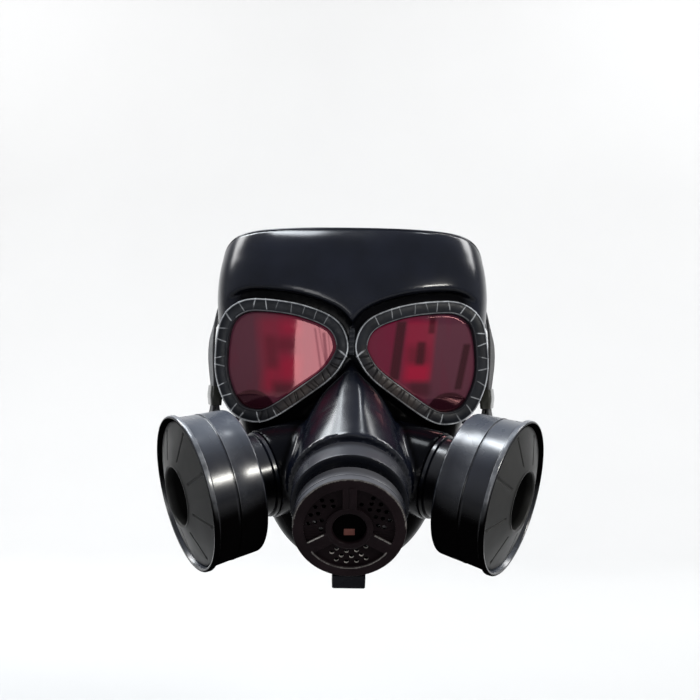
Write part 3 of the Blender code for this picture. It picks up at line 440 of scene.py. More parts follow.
@dataclass(frozen=True)
class Form:
    """The mask's smooth form without its fittings: a face, and a nose cone with a flat ridge and flanks."""

    face_sections: tuple = (
        (-150, 10, 5), (-141, 27, -20), (-130, 40, -30), (-110, 54, -33), (-80, 65, -27),
        (-50, 76, -24), (-25, 85, -27), (0, 89.5, -31), (20, 91.5, -35), (40, 92, -34),
        (60, 89, -27), (80, 81, -13), (105, 55, 30),
    )
    nose_sections: tuple = (
        (0, 38.5, 38.5), (18, 37.5, 42.5), (36, 34, 46.5), (52, 26, 50), (67, 15, 53), (82, 6, 55),
    )
    widest: float = 25 * MM
    back: float = 75 * MM
    squareness: float = 2.6
    tilt: float = math.radians(25)
    snout_face: tuple = (0.0, -95 * MM, -107 * MM)
    nose_start: float = 30 * MM
    nose_rise: float = 9.5 * MM
    ridge_half: float = math.radians(13)
    flank: float = math.radians(50)
    facet_depth: float = 0.5
    facet_start: float = 30 * MM
    blend: float = 9 * MM
    crease_turns: tuple = (-0.10, -0.06, -0.02, 0.02, 0.06, 0.10)

    @property
    def axis(self) -> np.ndarray:
        """The snout's direction, forwards and down."""
        return np.array([0.0, -math.cos(self.tilt), -math.sin(self.tilt)])

    @property
    def rise(self) -> np.ndarray:
        """The direction across the snout that points up."""
        return np.array([0.0, -math.sin(self.tilt), math.cos(self.tilt)])

    def face(self, points: np.ndarray, inset: float) -> np.ndarray:
        """About how far points lie outside the face, made smaller by inset."""
        rows = np.array(self.face_sections, dtype=float)
        half_width = np.maximum(read_rows(rows, points[:, 2], 1) - inset, MM)
        front = read_rows(rows, points[:, 2], 2) + inset
        depth = np.where(points[:, 1] < self.widest, np.maximum(self.widest - front, MM), self.back)
        across = np.abs(points[:, 0]) / half_width
        along = np.abs(points[:, 1] - self.widest) / depth
        reach = (across**self.squareness + along**self.squareness) ** (1 / self.squareness)
        body = (reach - 1) * np.minimum(half_width, depth)
        top = points[:, 2] - rows[-1, 0] * MM + inset
        bottom = rows[0, 0] * MM + inset - points[:, 2]
        return np.maximum(np.maximum(body, top), bottom)

    def nose(self, points: np.ndarray, inset: float) -> np.ndarray:
        """About how far points lie outside the nose, made smaller by inset."""
        rows = np.array(self.nose_sections, dtype=float)
        end = np.array(self.snout_face) - self.nose_start * self.axis + self.nose_rise * self.rise
        back = -(points - end) @ self.axis
        radius = read_rows(rows, back, 1) - inset
        centre = read_rows(rows, back, 2) - inset - radius
        high = (points - end) @ self.rise - centre
        angle = np.abs(np.arctan2(points[:, 0], high))
        facet = sum(self._facet(np.abs(angle + turn)) for turn in self.crease_turns) / len(self.crease_turns)
        share = self.facet_depth * np.clip(back / self.facet_start, 0, 1)
        body = np.hypot(points[:, 0], high) - radius * (1 - share + share * facet)
        return meet(body, inset - back, 1.1 * MM)

    def _facet(self, angle: np.ndarray) -> np.ndarray:
        """The nose's reach at some angles from its ridge, as a share of a round nose's."""
        ridge = math.cos(self.ridge_half) / np.cos(np.minimum(angle, self.ridge_half))
        flank_half = self.flank - self.ridge_half
        flank = math.cos(flank_half) / np.cos(np.clip(angle - self.flank, -flank_half, flank_half))
        return np.where(angle < self.ridge_half, ridge, flank)

    def _together(self, points: np.ndarray) -> np.ndarray:
        """A field that is zero on the face and nose together, negative inside."""
        return join(self.face(points, 0.0), self.nose(points, 0.0), self.blend)

    def distance(self, points: np.ndarray) -> np.ndarray:
        """How far points lie outside the face and nose together."""
        level = self._together(points)
        step = 0.4 * MM
        rise = np.stack([self._together(points + step * way) - level for way in np.eye(3)], 1) / step
        return level / np.clip(np.linalg.norm(rise, axis=1), 0.45, 1.6)


@dataclass(frozen=True)
class LensOutline:
    """The drop-shaped outline of a lens, and the place of a goggle in space."""

    keys: tuple = (
        (0.0, 10.8), (5.9, 21.2), (25.0, 28.7), (47.3, 31.9), (61.4, 31.0), (70.5, 22.8), (73.6, 3.3),
        (72.2, -13.0), (64.8, -28.0), (54.0, -32.3), (43.2, -29.3), (21.0, -14.5), (8.8, -5.2), (2.7, 2.6),
    )
    turn: float = math.radians(13)
    tip: tuple = (10.6 * MM, -34 * MM, -7.5 * MM)
    reach: tuple = (-35 * MM, 110 * MM, -70 * MM, 70 * MM)
    cell: float = 0.6 * MM

    def line(self, offset: float, steps: int = 3) -> np.ndarray:
        """The outline moved outwards by offset, as (out, up) pairs."""
        curve = curve_points(np.array(self.keys) * MM, steps, closed=True)
        along = np.roll(curve, -1, axis=0) - np.roll(curve, 1, axis=0)
        along = along / np.linalg.norm(along, axis=1)[:, None]
        return curve + np.stack([-along[:, 1], along[:, 0]], axis=1) * offset

    def even_line(self, count: int) -> np.ndarray:
        """The outline with its points an even step apart."""
        curve = self.line(0.0, 40)
        closed = np.vstack([curve, curve[:1]])
        steps = np.linalg.norm(np.diff(closed, axis=0), axis=1)
        along = np.concatenate([[0], np.cumsum(steps)])
        places = np.linspace(0, along[-1], count, endpoint=False)
        return np.stack([np.interp(places, along, closed[:, k]) for k in (0, 1)], 1)

    def outward(self, line: np.ndarray) -> np.ndarray:
        """The outward direction at each point of an evenly spaced outline."""
        along = np.roll(line, -1, axis=0) - np.roll(line, 1, axis=0)
        along = along / np.linalg.norm(along, axis=1)[:, None]
        return np.stack([-along[:, 1], along[:, 0]], axis=1)

    def place(self, side: Side, flat: np.ndarray, lift: np.ndarray) -> np.ndarray:
        """Points of the flat drawing put in space.

        Args:
            side: The side of the mask.
            flat: (out, up) pairs.
            lift: How far each stands in front of the goggle's plane.

        Returns:
            The points in the row frame.
        """
        across = np.array([math.cos(self.turn), math.sin(self.turn), 0])
        front = np.array([math.sin(self.turn), -math.cos(self.turn), 0])
        lift = np.broadcast_to(np.asarray(lift, dtype=float), len(flat))
        points = np.array(self.tip) + flat[:, :1] * across + flat[:, 1:] * UP + lift[:, None] * front
        return side.place(points)

    def local(self, points: np.ndarray) -> np.ndarray:
        """Points of the right side as (out, up, lift) rows."""
        across = np.array([math.cos(self.turn), math.sin(self.turn), 0])
        front = np.array([math.sin(self.turn), -math.cos(self.turn), 0])
        away = points - np.array(self.tip)
        return np.stack([away @ across, away @ UP, away @ front], 1)


class FlatDistance:
    """Signed distance from a closed flat line, kept on a fine grid."""

    def __init__(self, line: np.ndarray, reach: Sequence[float], cell: float) -> None:
        """Measure the distance at every point of the grid.

        Args:
            line: The closed line's corners.
            reach: The grid's lowest and highest first value, then its lowest and highest second value.
            cell: The grid's step.
        """
        self.low = np.array(reach[::2])
        self.cell = cell
        across = np.arange(reach[0], reach[1], cell)
        upward = np.arange(reach[2], reach[3], cell)
        u, v = np.meshgrid(across, upward, indexing="ij")
        points = np.stack([u.ravel(), v.ravel()], 1)
        after = np.roll(line, -1, axis=0)
        nearest = np.full(len(points), np.inf)
        inside = np.zeros(len(points), dtype=bool)
        for a, b in zip(line, after):
            span = b - a
            share = np.clip((points - a) @ span / (span @ span), 0, 1)
            nearest = np.minimum(nearest, np.linalg.norm(points - a - share[:, None] * span, axis=1))
            if a[1] != b[1]:
                beside = (points[:, 1] > a[1]) != (points[:, 1] > b[1])
                inside ^= beside & (points[:, 0] < a[0] + (points[:, 1] - a[1]) * span[0] / span[1])
        self.grid = np.where(inside, -nearest, nearest).reshape(u.shape)

    def at(self, flat: np.ndarray) -> np.ndarray:
        """The distance at (out, up) pairs, by straight reading between the grid's points."""
        place = (flat - self.low) / self.cell
        limit = np.array(self.grid.shape) - 1.001
        beyond = np.linalg.norm((place - np.clip(place, 0, limit)) * self.cell, axis=1)
        place = np.clip(place, 0, limit)
        cell = place.astype(int)
        share = place - cell
        i, j = cell.T
        near = self.grid[i, j] * (1 - share[:, 0]) + self.grid[i + 1, j] * share[:, 0]
        far = self.grid[i, j + 1] * (1 - share[:, 0]) + self.grid[i + 1, j + 1] * share[:, 0]
        return near * (1 - share[:, 1]) + far * share[:, 1] + beyond


class Bench:
    """A material's node tree, with short calls to place and join its nodes."""

    def __init__(self, name: str) -> None:
        """Start a material with a Principled shader.

        Args:
            name: The material's name.
        """
        self.material = bpy.data.materials.new(name)
        self.material.use_nodes = True
        self.tree = self.material.node_tree
        self.shader = self.tree.nodes["Principled BSDF"]
        self.coordinates = self.tree.nodes.new("ShaderNodeTexCoord").outputs["Object"]

    def set(self, **values: float) -> None:
        """Set the shader's own sockets, named with underscores."""
        for key, value in values.items():
            self.shader.inputs[key.replace("_", " ")].default_value = value

    def link(self, output: bpy.types.NodeSocket, into: bpy.types.NodeSocket) -> None:
        """Join an output to an input."""
        self.tree.links.new(output, into)

    def noise(self, scale: float, detail: float = 3.0, roughness: float = 0.5,
              stretch: tuple = ()) -> bpy.types.NodeSocket:
        """Noise over the object.

        Args:
            scale: Bumps in a metre.
            detail: How many finer layers it has.
            roughness: How strong they are.
            stretch: The scale along each axis, where it isn't the same.

        Returns:
            The noise's value, from 0 to 1.
        """
        node = self.tree.nodes.new("ShaderNodeTexNoise")
        node.inputs["Scale"].default_value = scale
        node.inputs["Detail"].default_value = detail
        node.inputs["Roughness"].default_value = roughness
        source = self.coordinates
        if stretch:
            mapping = self.tree.nodes.new("ShaderNodeMapping")
            mapping.inputs["Scale"].default_value = stretch
            self.link(source, mapping.inputs["Vector"])
            source = mapping.outputs["Vector"]
        self.link(source, node.inputs["Vector"])
        return node.outputs[0]

    def remap(self, value: bpy.types.NodeSocket, source: tuple, target: tuple) -> bpy.types.NodeSocket:
        """A value moved from one range to another, and held there."""
        node = self.tree.nodes.new("ShaderNodeMapRange")
        self.link(value, node.inputs["Value"])
        for socket, number in zip(("From Min", "From Max", "To Min", "To Max"), source + target):
            node.inputs[socket].default_value = number
        return node.outputs["Result"]

    def blend(self, share: bpy.types.NodeSocket, first: object, second: object) -> bpy.types.NodeSocket:
        """A colour between two colours, each a tuple or another node's colour."""
        node = self.tree.nodes.new("ShaderNodeMix")
        node.data_type = "RGBA"
        self.link(share, node.inputs["Factor"])
        for socket, colour in zip((node.inputs[6], node.inputs[7]), (first, second)):
            if isinstance(colour, tuple):
                socket.default_value = (*colour, 1.0)
            else:
                self.link(colour, socket)
        return node.outputs[2]

    def maths(self, operation: str, first: object, second: object = 0.0) -> bpy.types.NodeSocket:
        """The result of a sum on one or two values, each a number or a node's value."""
        node = self.tree.nodes.new("ShaderNodeMath")
        node.operation = operation
        for socket, value in zip(node.inputs, (first, second)):
            if isinstance(value, (int, float)):
                socket.default_value = value
            else:
                self.link(value, socket)
        return node.outputs[0]

    def bump(self, height: bpy.types.NodeSocket, depth: float, under: object = None) -> bpy.types.NodeSocket:
        """A bump of a given depth in metres, laid over another one where there is one."""
        node = self.tree.nodes.new("ShaderNodeBump")
        node.inputs["Distance"].default_value = depth
        node.inputs["Strength"].default_value = 1.0
        self.link(height, node.inputs["Height"])
        if under is not None:
            self.link(under, node.inputs["Normal"])
        return node.outputs["Normal"]

    def kept(self, name: str) -> bpy.types.NodeSocket:
        """A value that was kept on the mesh."""
        node = self.tree.nodes.new("ShaderNodeAttribute")
        node.attribute_name = name
        return node.outputs["Fac"]

    def edges(self, low: float = 0.52, high: float = 0.62) -> bpy.types.NodeSocket:
        """How far a place is a worn outer edge, from 0 to 1."""
        node = self.tree.nodes.new("ShaderNodeNewGeometry")
        return self.remap(node.outputs["Pointiness"], (low, high), (0.0, 1.0))


@dataclass(frozen=True)
class MouldedPlastic:
    """Black moulded plastic: a soft sheen with faint flow marks and fine grain; pale painted highlights and glints,
    a painted sheen on upward faces, painted shade, and a painted light in the valve's slot.
    """

    name: str
    dark: tuple = (0.0032, 0.0044, 0.0092)
    light: tuple = (0.0062, 0.0080, 0.0160)
    # Paler colour where "ridge" is kept: on the drums and valve cover, painted highlights and glints.
    wear_and_highlight: tuple = (0.05, 0.052, 0.060)
    roughness: tuple = (0.15, 0.21)
    waves: float = 0.12 * MM
    grain: float = 0.0012 * MM
    shine: float = 0.38
    # Colour of the painted sheen on upward faces.
    satin: tuple = (0.105, 0.107, 0.120)
    # Colour of the painted light in the valve's slot.
    painted_slot_light: tuple = (0.13, 0.052, 0.044)

    def build(self) -> bpy.types.Material:
        """The finish as a material."""
        bench = Bench(self.name)
        cloud = bench.noise(38.0, 4.0, 0.55)
        colour = bench.blend(bench.remap(cloud, (0.35, 0.7), (0.0, 1.0)), self.dark, self.light)
        # Where "ridge" is kept: painted highlight lines and painted glints on the drums and valve cover.
        wear_and_highlight_share = bench.maths("MULTIPLY", bench.kept("ridge"),
                             bench.remap(bench.noise(220.0), (0.3, 0.7), (0.3, 1.0)))
        colour = bench.blend(wear_and_highlight_share, colour, self.wear_and_highlight)
        # Painted sheen: a lighter tone on faces that turn up to the light.
        satin = bench.kept("satin")
        colour = bench.blend(satin, colour, self.satin)
        # Painted light in the valve's slot: its floor is pale pink.
        colour = bench.blend(bench.kept("painted_slot_light"), colour, self.painted_slot_light)
        # Painted shade: darkens the colour towards black and takes the reflection away.
        painted_shade = bench.kept("shade")
        bench.link(bench.blend(painted_shade, colour, (0.0012, 0.0011, 0.0012)), bench.shader.inputs["Base Color"])
        bench.link(bench.remap(painted_shade, (0.0, 1.0), (self.shine, 0.0)),
                   bench.shader.inputs["Specular IOR Level"])
        rough = bench.remap(bench.noise(45.0, 3.0, 0.5), (0.35, 0.65), self.roughness)
        bench.link(bench.maths("ADD", rough, bench.maths("MULTIPLY", satin, 0.14)),
                   bench.shader.inputs["Roughness"])
        flow = bench.bump(bench.noise(24.0, 2.0), self.waves)
        bench.link(bench.bump(bench.noise(320.0, 2.0), self.grain, flow), bench.shader.inputs["Normal"])
        return bench.material


@dataclass(frozen=True)
class RimRubber:
    """Grey-black rubber of the goggle rims: leathery grain, dull, with paler scuffed edges, painted highlights on
    its ridges, bead and lip, and painted shade in its creases.
    """

    name: str = "rim_rubber_finish"
    dark: tuple = (0.0042, 0.0052, 0.0078)
    light: tuple = (0.0100, 0.0120, 0.0170)
    wear_and_highlight: tuple = (0.045, 0.047, 0.052)
    # Colours of the painted highlights on ridges, bead and lip, and of the painted shade in the creases.
    ridge: tuple = (0.70, 0.73, 0.78)
    crease: tuple = (0.002, 0.0018, 0.0018)
    leather: tuple = (0.040, 0.031, 0.028)
    roughness: tuple = (0.34, 0.52)
    folds: float = 0.10 * MM
    grain: float = 0.02 * MM

    def build(self) -> bpy.types.Material:
        """The finish as a material."""
        bench = Bench(self.name)
        cloud = bench.noise(90.0, 5.0, 0.6)
        colour = bench.blend(bench.remap(cloud, (0.3, 0.7), (0.0, 1.0)), self.dark, self.light)
        wear_and_highlight_share = bench.maths("MULTIPLY", bench.edges(0.51, 0.6),
                             bench.remap(bench.noise(400.0), (0.3, 0.7), (0.1, 0.8)))
        colour = bench.blend(wear_and_highlight_share, colour, self.wear_and_highlight)
        folded = bench.maths("MULTIPLY", bench.kept("leather"),
                             bench.remap(bench.noise(120.0), (0.3, 0.65), (0.3, 1.0)))
        colour = bench.blend(folded, colour, self.leather)
        # Painted shade in the creases.
        colour = bench.blend(bench.kept("crease"), colour, self.crease)
        # Painted highlights along the ridges, the bead and the lip.
        painted_crest_highlight = bench.maths("MULTIPLY", bench.kept("ridge"),
                             bench.remap(bench.noise(160.0), (0.3, 0.6), (0.35, 1.0)))
        bench.link(bench.blend(painted_crest_highlight, colour, self.ridge), bench.shader.inputs["Base Color"])
        bench.link(bench.remap(bench.noise(300.0, 4.0), (0.3, 0.7), self.roughness),
                   bench.shader.inputs["Roughness"])
        bench.set(Specular_IOR_Level=0.2)
        fold = bench.bump(bench.noise(260.0, 4.0, 0.6), self.folds)
        bench.link(bench.bump(bench.noise(1800.0, 3.0), self.grain, fold), bench.shader.inputs["Normal"])
        return bench.material


@dataclass(frozen=True)
class TintedLens:
    """Deep red mirrored plastic of a lens, with painted light and shade: a painted glow low in the middle, duller
    outwards, and painted dark upright bars and a dark corner.
    """

    name: str
    side: Side
    # The painted glow; the painted gradient's inner and outer tones; painted shade.
    bright: tuple = (0.31, 0.003, 0.030)
    middle: tuple = (0.125, 0.004, 0.026)
    deep: tuple = (0.078, 0.024, 0.040)
    dark: tuple = (0.010, 0.001, 0.003)
    painted_light_and_shade: tuple = ()
    streaks: tuple = ()
    corner: tuple = (65 * MM, -43 * MM, 16 * MM)
    roughness: tuple = (0.03, 0.08)

    def build(self) -> bpy.types.Material:
        """The finish as a material."""
        bench = Bench(self.name)
        parts = bench.tree.nodes.new("ShaderNodeSeparateXYZ")
        bench.link(bench.coordinates, parts.inputs[0])
        across = bench.maths("MULTIPLY", parts.outputs["X"], self.side.value)
        height = parts.outputs["Z"]
        cloud = bench.noise(60.0, 3.0, 0.5, (1.8, 1.0, 0.45))
        # Painted light seen through the lens: redder towards the nose, greyer outwards.
        inner = bench.remap(across, (28 * MM, 58 * MM), (0.75, 0.0))
        share = bench.maths("ADD", inner, bench.remap(cloud, (0.35, 0.65), (-0.15, 0.15)))
        colour = bench.blend(share, self.deep, self.middle)
        # Soft areas of painted glow and painted dark upright bars.
        for patch in self.painted_light_and_shade:
            tone = self.bright if patch[-1] > 0 else self.dark
            colour = bench.blend(self._patch(bench, across, height, patch), colour, tone)
        # Painted shade in a dark round corner.
        shade = bench.remap(self._away(bench, across, height, self.corner[:2]),
                            (self.corner[2] - 0.6 * MM, self.corner[2] + 0.6 * MM), (0.85, 0.0))
        bench.link(bench.blend(shade, colour, self.dark), bench.shader.inputs["Base Color"])
        bench.link(bench.remap(bench.noise(180.0, 4.0), (0.35, 0.75), self.roughness),
                   bench.shader.inputs["Roughness"])
        ripple = bench.noise(90.0, 2.0, 0.5, (1.0, 1.0, 0.12))
        bench.link(bench.bump(ripple, 0.03 * MM), bench.shader.inputs["Normal"])
        bench.set(Specular_IOR_Level=1.0, Specular_Tint=(1.0, 0.44, 0.46, 1.0))
        sheen = 1.0
        for streak in self.streaks:
            sheen = bench.maths("SUBTRACT", sheen, self._patch(bench, across, height, streak))
        if self.streaks:
            bench.link(sheen, bench.shader.inputs["Specular IOR Level"])
        return bench.material

    def _patch(self, bench: Bench, across: bpy.types.NodeSocket, height: bpy.types.NodeSocket,
               patch: tuple) -> bpy.types.NodeSocket:
        """How much a place lies in a soft leaning rectangle.

        Args:
            bench: The material being made.
            across: The place's distance from the mask's middle.
            height: The place's height.
            patch: The rectangle's middle (outwards, up), half width, half height, lean,
                softness of its edge, all in millimetres, and its strength.

        Returns:
            A share from 0 to the strength.
        """
        right, up, wide, high, lean, soft, strength = patch
        above = bench.maths("SUBTRACT", height, up * MM)
        middle = bench.maths("ADD", bench.maths("MULTIPLY", above, lean), right * MM)
        off = bench.maths("ABSOLUTE", bench.maths("SUBTRACT", across, middle))
        far = bench.maths("ABSOLUTE", above)
        inside = bench.remap(off, ((wide - soft) * MM, (wide + soft) * MM), (abs(strength), 0.0))
        return bench.maths("MULTIPLY", inside,
                           bench.remap(far, ((high - soft) * MM, (high + soft) * MM), (1.0, 0.0)))

    def _away(self, bench: Bench, across: bpy.types.NodeSocket, height: bpy.types.NodeSocket,
              middle: tuple) -> bpy.types.NodeSocket:
        """The distance of a place on the lens from a middle, both seen from the front."""
        right = bench.maths("POWER", bench.maths("SUBTRACT", across, middle[0]), 2.0)
        up = bench.maths("POWER", bench.maths("SUBTRACT", height, middle[1]), 2.0)
        return bench.maths("SQRT", bench.maths("ADD", right, up))


@dataclass(frozen=True)
class Webbing:
    """Black woven elastic: ribs along the strap crossed by fine threads."""

    name: str = "strap_webbing_finish"
    dark: tuple = (0.008, 0.008, 0.010)
    light: tuple = (0.032, 0.032, 0.036)
    rib: float = 0.12 * MM

    def build(self) -> bpy.types.Material:
        """The finish as a material."""
        bench = Bench(self.name)
        uv = bench.tree.nodes.new("ShaderNodeUVMap").outputs["UV"]
        parts = bench.tree.nodes.new("ShaderNodeSeparateXYZ")
        bench.link(uv, parts.inputs[0])
        rib = bench.maths("SINE", bench.maths("MULTIPLY", parts.outputs["X"], 2 * math.pi / (1.25 * MM)))
        thread = bench.maths("SINE", bench.maths("MULTIPLY", parts.outputs["Y"], 2 * math.pi / (0.9 * MM)))
        weave = bench.maths("ADD", bench.maths("MULTIPLY", rib, 0.6), bench.maths("MULTIPLY", thread, 0.4))
        fuzz = bench.noise(1400.0, 3.0, 0.6)
        height = bench.maths("ADD", weave, fuzz)
        share = bench.remap(height, (-0.6, 1.6), (0.0, 1.0))
        bench.link(bench.blend(share, self.dark, self.light), bench.shader.inputs["Base Color"])
        bench.link(bench.remap(fuzz, (0.3, 0.7), (0.75, 0.95)), bench.shader.inputs["Roughness"])
        bench.link(bench.bump(height, self.rib), bench.shader.inputs["Normal"])
        bench.set(Sheen_Weight=0.25, Sheen_Roughness=0.5)
        return bench.material


@dataclass(frozen=True)
class FaceShell:
    """The moulded shell: face, brow, goggle sockets, nose, snout steps, cheek bosses, chin tab and strap ears."""

    finish: MouldedPlastic
    form: Form
    outline: LensOutline
    wall: float = 3.0 * MM
    pitch: float = 1.5 * MM
    # Strength of the painted shade.
    moat_shade: float = 0.9
    moat: float = 12.0 * MM
    moat_shift: tuple = (-0.6 * MM, 2.2 * MM)
    moat_round: float = 4.5 * MM
    socket_depth: float = 6.0 * MM
    housing: float = 7.8 * MM
    housing_flare: float = 1.5 * MM
    housing_length: float = 28.0 * MM
    ledge: float = 2.0 * MM
    snout_radius: float = 34.4 * MM
    snout_depth: float = 57.0 * MM
    plate: float = 5.3 * MM
    step_radius: float = 36.0 * MM
    step_rise: float = 7.0 * MM
    step_start: float = 14.0 * MM
    boss_radius: float = 28.5 * MM
    boss_length: float = 34.0 * MM
    boss_start: float = 17.3 * MM
    air_radius: float = 14.0 * MM
    edge: tuple = (
        (-150, -22), (-134, -8), (-112, 8), (-80, 22), (-45, 32), (-5, 36), (28, 34),
        (56, 24), (73, 6), (80, -14), (84, -40),
    )
    tab_width: float = 20.5 * MM
    edge_bead: float = 1.75 * MM
    edge_steps: int = 480

    def behind(self) -> FlatDistance:
        """Distance from the region behind the shell's back edge, seen from the side."""
        keys = np.array([(depth, height) for height, depth in self.edge], dtype=float) * MM
        line = curve_points(keys, 6, closed=False)
        corners = np.array([(-40, 130), (140, 130), (140, -190), (-22, -190)]) * MM
        return FlatDistance(np.vstack([line, corners]), (-115 * MM, 60 * MM, -165 * MM, 110 * MM), 0.8 * MM)

    def distance(self, drum: "Drum", strap: "Strap", flat: FlatDistance, behind: FlatDistance) -> Field:
        """The shell's distance field.

        Args:
            drum: The right drum, whose boss the shell carries.
            strap: The strap, whose ears the shell carries.
            flat: Distance from the lens outline.
            behind: Distance from the region behind the shell.

        Returns:
            A function of points, negative inside the shell.
        """
        form, outline = self.form, self.outline
        tip = np.array(form.snout_face)
        raised = tip + self.step_rise * form.rise
        start, axis = drum.inner_end(Side.RIGHT)

        def rod(points: np.ndarray, base: np.ndarray, way: np.ndarray, near: float, far: float,
                radius: float,
                rounding: float = 0.8 * MM) -> np.ndarray:
            """A rod along a direction from near to far, with rounded end edges."""
            along = (points - base) @ way
            reach = np.linalg.norm(points - base - along[:, None] * way, axis=1) - radius
            return meet(reach, np.maximum(near - along, along - far), rounding)

        def block(points: np.ndarray, middle: np.ndarray, axes: Sequence, half: Sequence,
                  rounding: float = 0.8 * MM) -> np.ndarray:
            """A block with rounded edges."""
            far = np.stack([np.abs((points - middle) @ way) - size for way, size in zip(axes, half)], 1)
            return meet(meet(far[:, 0], far[:, 1], rounding), far[:, 2], rounding)

        def solid(points: np.ndarray) -> np.ndarray:
            """Distance from the shell, negative inside it."""
            points = points * np.array([1.0, 1.0, 1.0])
            points[:, 0] = np.abs(points[:, 0])
            local = outline.local(points)
            lift = local[:, 2]
            around = flat.at(local[:, :2])
            moved = flat.at(local[:, :2] - np.array(self.moat_shift))
            skin = form.distance(points)
            body = skin
            moat = meet(moved - self.moat, -self.socket_depth - lift, 1.5 * MM)
            body = cut(body, moat, self.moat_round)
            slant = self.housing_flare * np.clip((-self.socket_depth - lift) / self.housing_length, 0, 1)
            house = np.maximum(around - self.housing - slant, lift + self.socket_depth)
            house = np.maximum(house, -self.socket_depth - self.housing_length - lift)
            body = join(body, house, 1.0 * MM)
            boss = rod(points, start, axis, -self.boss_start - self.boss_length, -self.boss_start,
                       self.boss_radius)
            body = join(body, boss, 5.0 * MM)
            under = 0.35 * MM
            ring = rod(points, tip, form.axis, -self.snout_depth, -self.plate - under,
                       self.snout_radius - under)
            back = -form.nose_start - 4 * MM
            step = rod(points, raised, form.axis, back, -self.step_start - under, self.step_radius - under)
            body = join(join(body, ring, 0.6 * MM), step, 0.6 * MM)
            hollow = skin + self.wall
            floor = np.maximum(moved - self.moat - self.wall, -self.socket_depth - self.wall - lift)
            hollow = cut(hollow, floor, 1.0 * MM)
            body = cut(body, hollow, 0.6 * MM)
            bore = rod(points, tip, form.axis, -60 * MM, 10 * MM, self.snout_radius - self.wall)
            body = cut(body, bore, 0.5 * MM)
            inner = rod(points, raised, form.axis, -form.nose_start - 8 * MM, -self.step_start - self.wall,
                        self.step_radius - self.wall)
            body = cut(body, inner, 0.5 * MM)
            eye = np.maximum(around + self.ledge, -54 * MM - lift)
            body = cut(body, eye, 0.8 * MM)
            body = cut(body, rod(points, start, axis, -60 * MM, 0.0, self.air_radius), 0.6 * MM)
            body = cut(body, behind.at(points[:, 1:]), 1.0 * MM)
            for front, top, bottom in ((1.0, 34.7, 44.0), (5.6, 32.9, 43.0)):
                middle = tip - (front + 12.0) / 2 * MM * form.axis - (top + bottom) / 2 * MM * form.rise
                half = (self.tab_width / 2, (bottom - top) / 2 * MM, (12.0 - front) / 2 * MM)
                body = join(body, block(points, middle, (RIGHT, form.rise, form.axis), half), 0.8 * MM)
            outward, along = strap.facing(Side.RIGHT)
            bar = np.array(strap.bar)
            middle = bar - (strap.root - strap.bar_size) / 2 * outward
            half = (strap.root / 2, strap.width / 2 + 3.5 * MM, strap.bar_size / 2)
            ear = block(points, middle, (outward, along, UP), half)
            slot = bar - (strap.bar_size + strap.slot) / 2 * outward
            half = (strap.slot / 2, strap.width / 2 + 1 * MM, 6 * MM)
            ear = cut(ear, block(points, slot, (outward, along, UP), half), 0.5 * MM)
            return join(body, np.maximum(ear, -(hollow + 0.5 * MM)), 1.5 * MM)

        return solid

    def build(self, drum: "Drum", strap: "Strap") -> bpy.types.Object:
        """Mesh the shell, add its turned rings and the rolled bead on its back edge, and fasten it.

        Args:
            drum: The drums' sizes.
            strap: The strap's sizes.

        Returns:
            The shell.
        """
        lens = FlatDistance(self.outline.line(0.0, 8), self.outline.reach, self.outline.cell)
        solid = self.distance(drum, strap, lens, self.behind())
        contour = Contour((-106 * MM, -103 * MM, -153 * MM), (106 * MM, 42 * MM, 90 * MM), self.pitch)
        points, faces = contour.mesh(solid, mirrored=True)
        # Painted shade in the moats, on the nose's flanks beside them and on the cheeks.
        shade = self._shade(points, lens)
        satin = np.zeros(len(points))
        raised = np.array(self.form.snout_face) + self.step_rise * self.form.rise
        for middle, front, radius, back in (
            (np.array(self.form.snout_face), -self.plate, self.snout_radius, -26 * MM),
            (raised, -self.step_start, self.step_radius, -self.form.nose_start - 2 * MM),
        ):
            ring, ring_faces = self._ring(middle, front, radius, back)
            faces = np.vstack([faces, ring_faces + len(points)])
            points = np.vstack([points, ring])
            # Painted sheen on the rings' outer faces, full on the snout ring and about half on the step.
            outer = np.linalg.norm(np.cross(ring - middle, self.form.axis), axis=1) > radius - 0.25 * MM
            shade = np.concatenate([shade, np.zeros(len(ring))])
            satin = np.concatenate([satin, outer * (0.48 if radius > self.snout_radius else 1.0)])
        rolled, rolled_faces = self._rolled_edge()
        faces = np.vstack([faces, rolled_faces + len(points)])
        points = np.vstack([points, rolled])
        shade = np.concatenate([shade, np.zeros(len(rolled))])
        satin = np.concatenate([satin, np.zeros(len(rolled))])
        item = add_mesh("face_shell_moulding", points, faces, self.finish.build())
        # Painted shade on undersides too, cut to less than a third on the inner faces.
        right = np.column_stack([np.abs(points[:, 0]), points[:, 1:]])
        within = (self.form.distance(right) < -1.3 * MM) & (undersides(item, 0.0, -0.05, 1.0, 1) < 0.5)
        mark(item, "shade",
             np.maximum(shade, undersides(item, -0.05, -0.55, 0.75)) * np.where(within, 0.3, 1.0))
        # The painted sheen stays on the rings' upward faces.
        mark(item, "satin", satin * (1 - undersides(item, 0.65, 0.15, 1.0)))
        return settle(item, ["face_shell"])

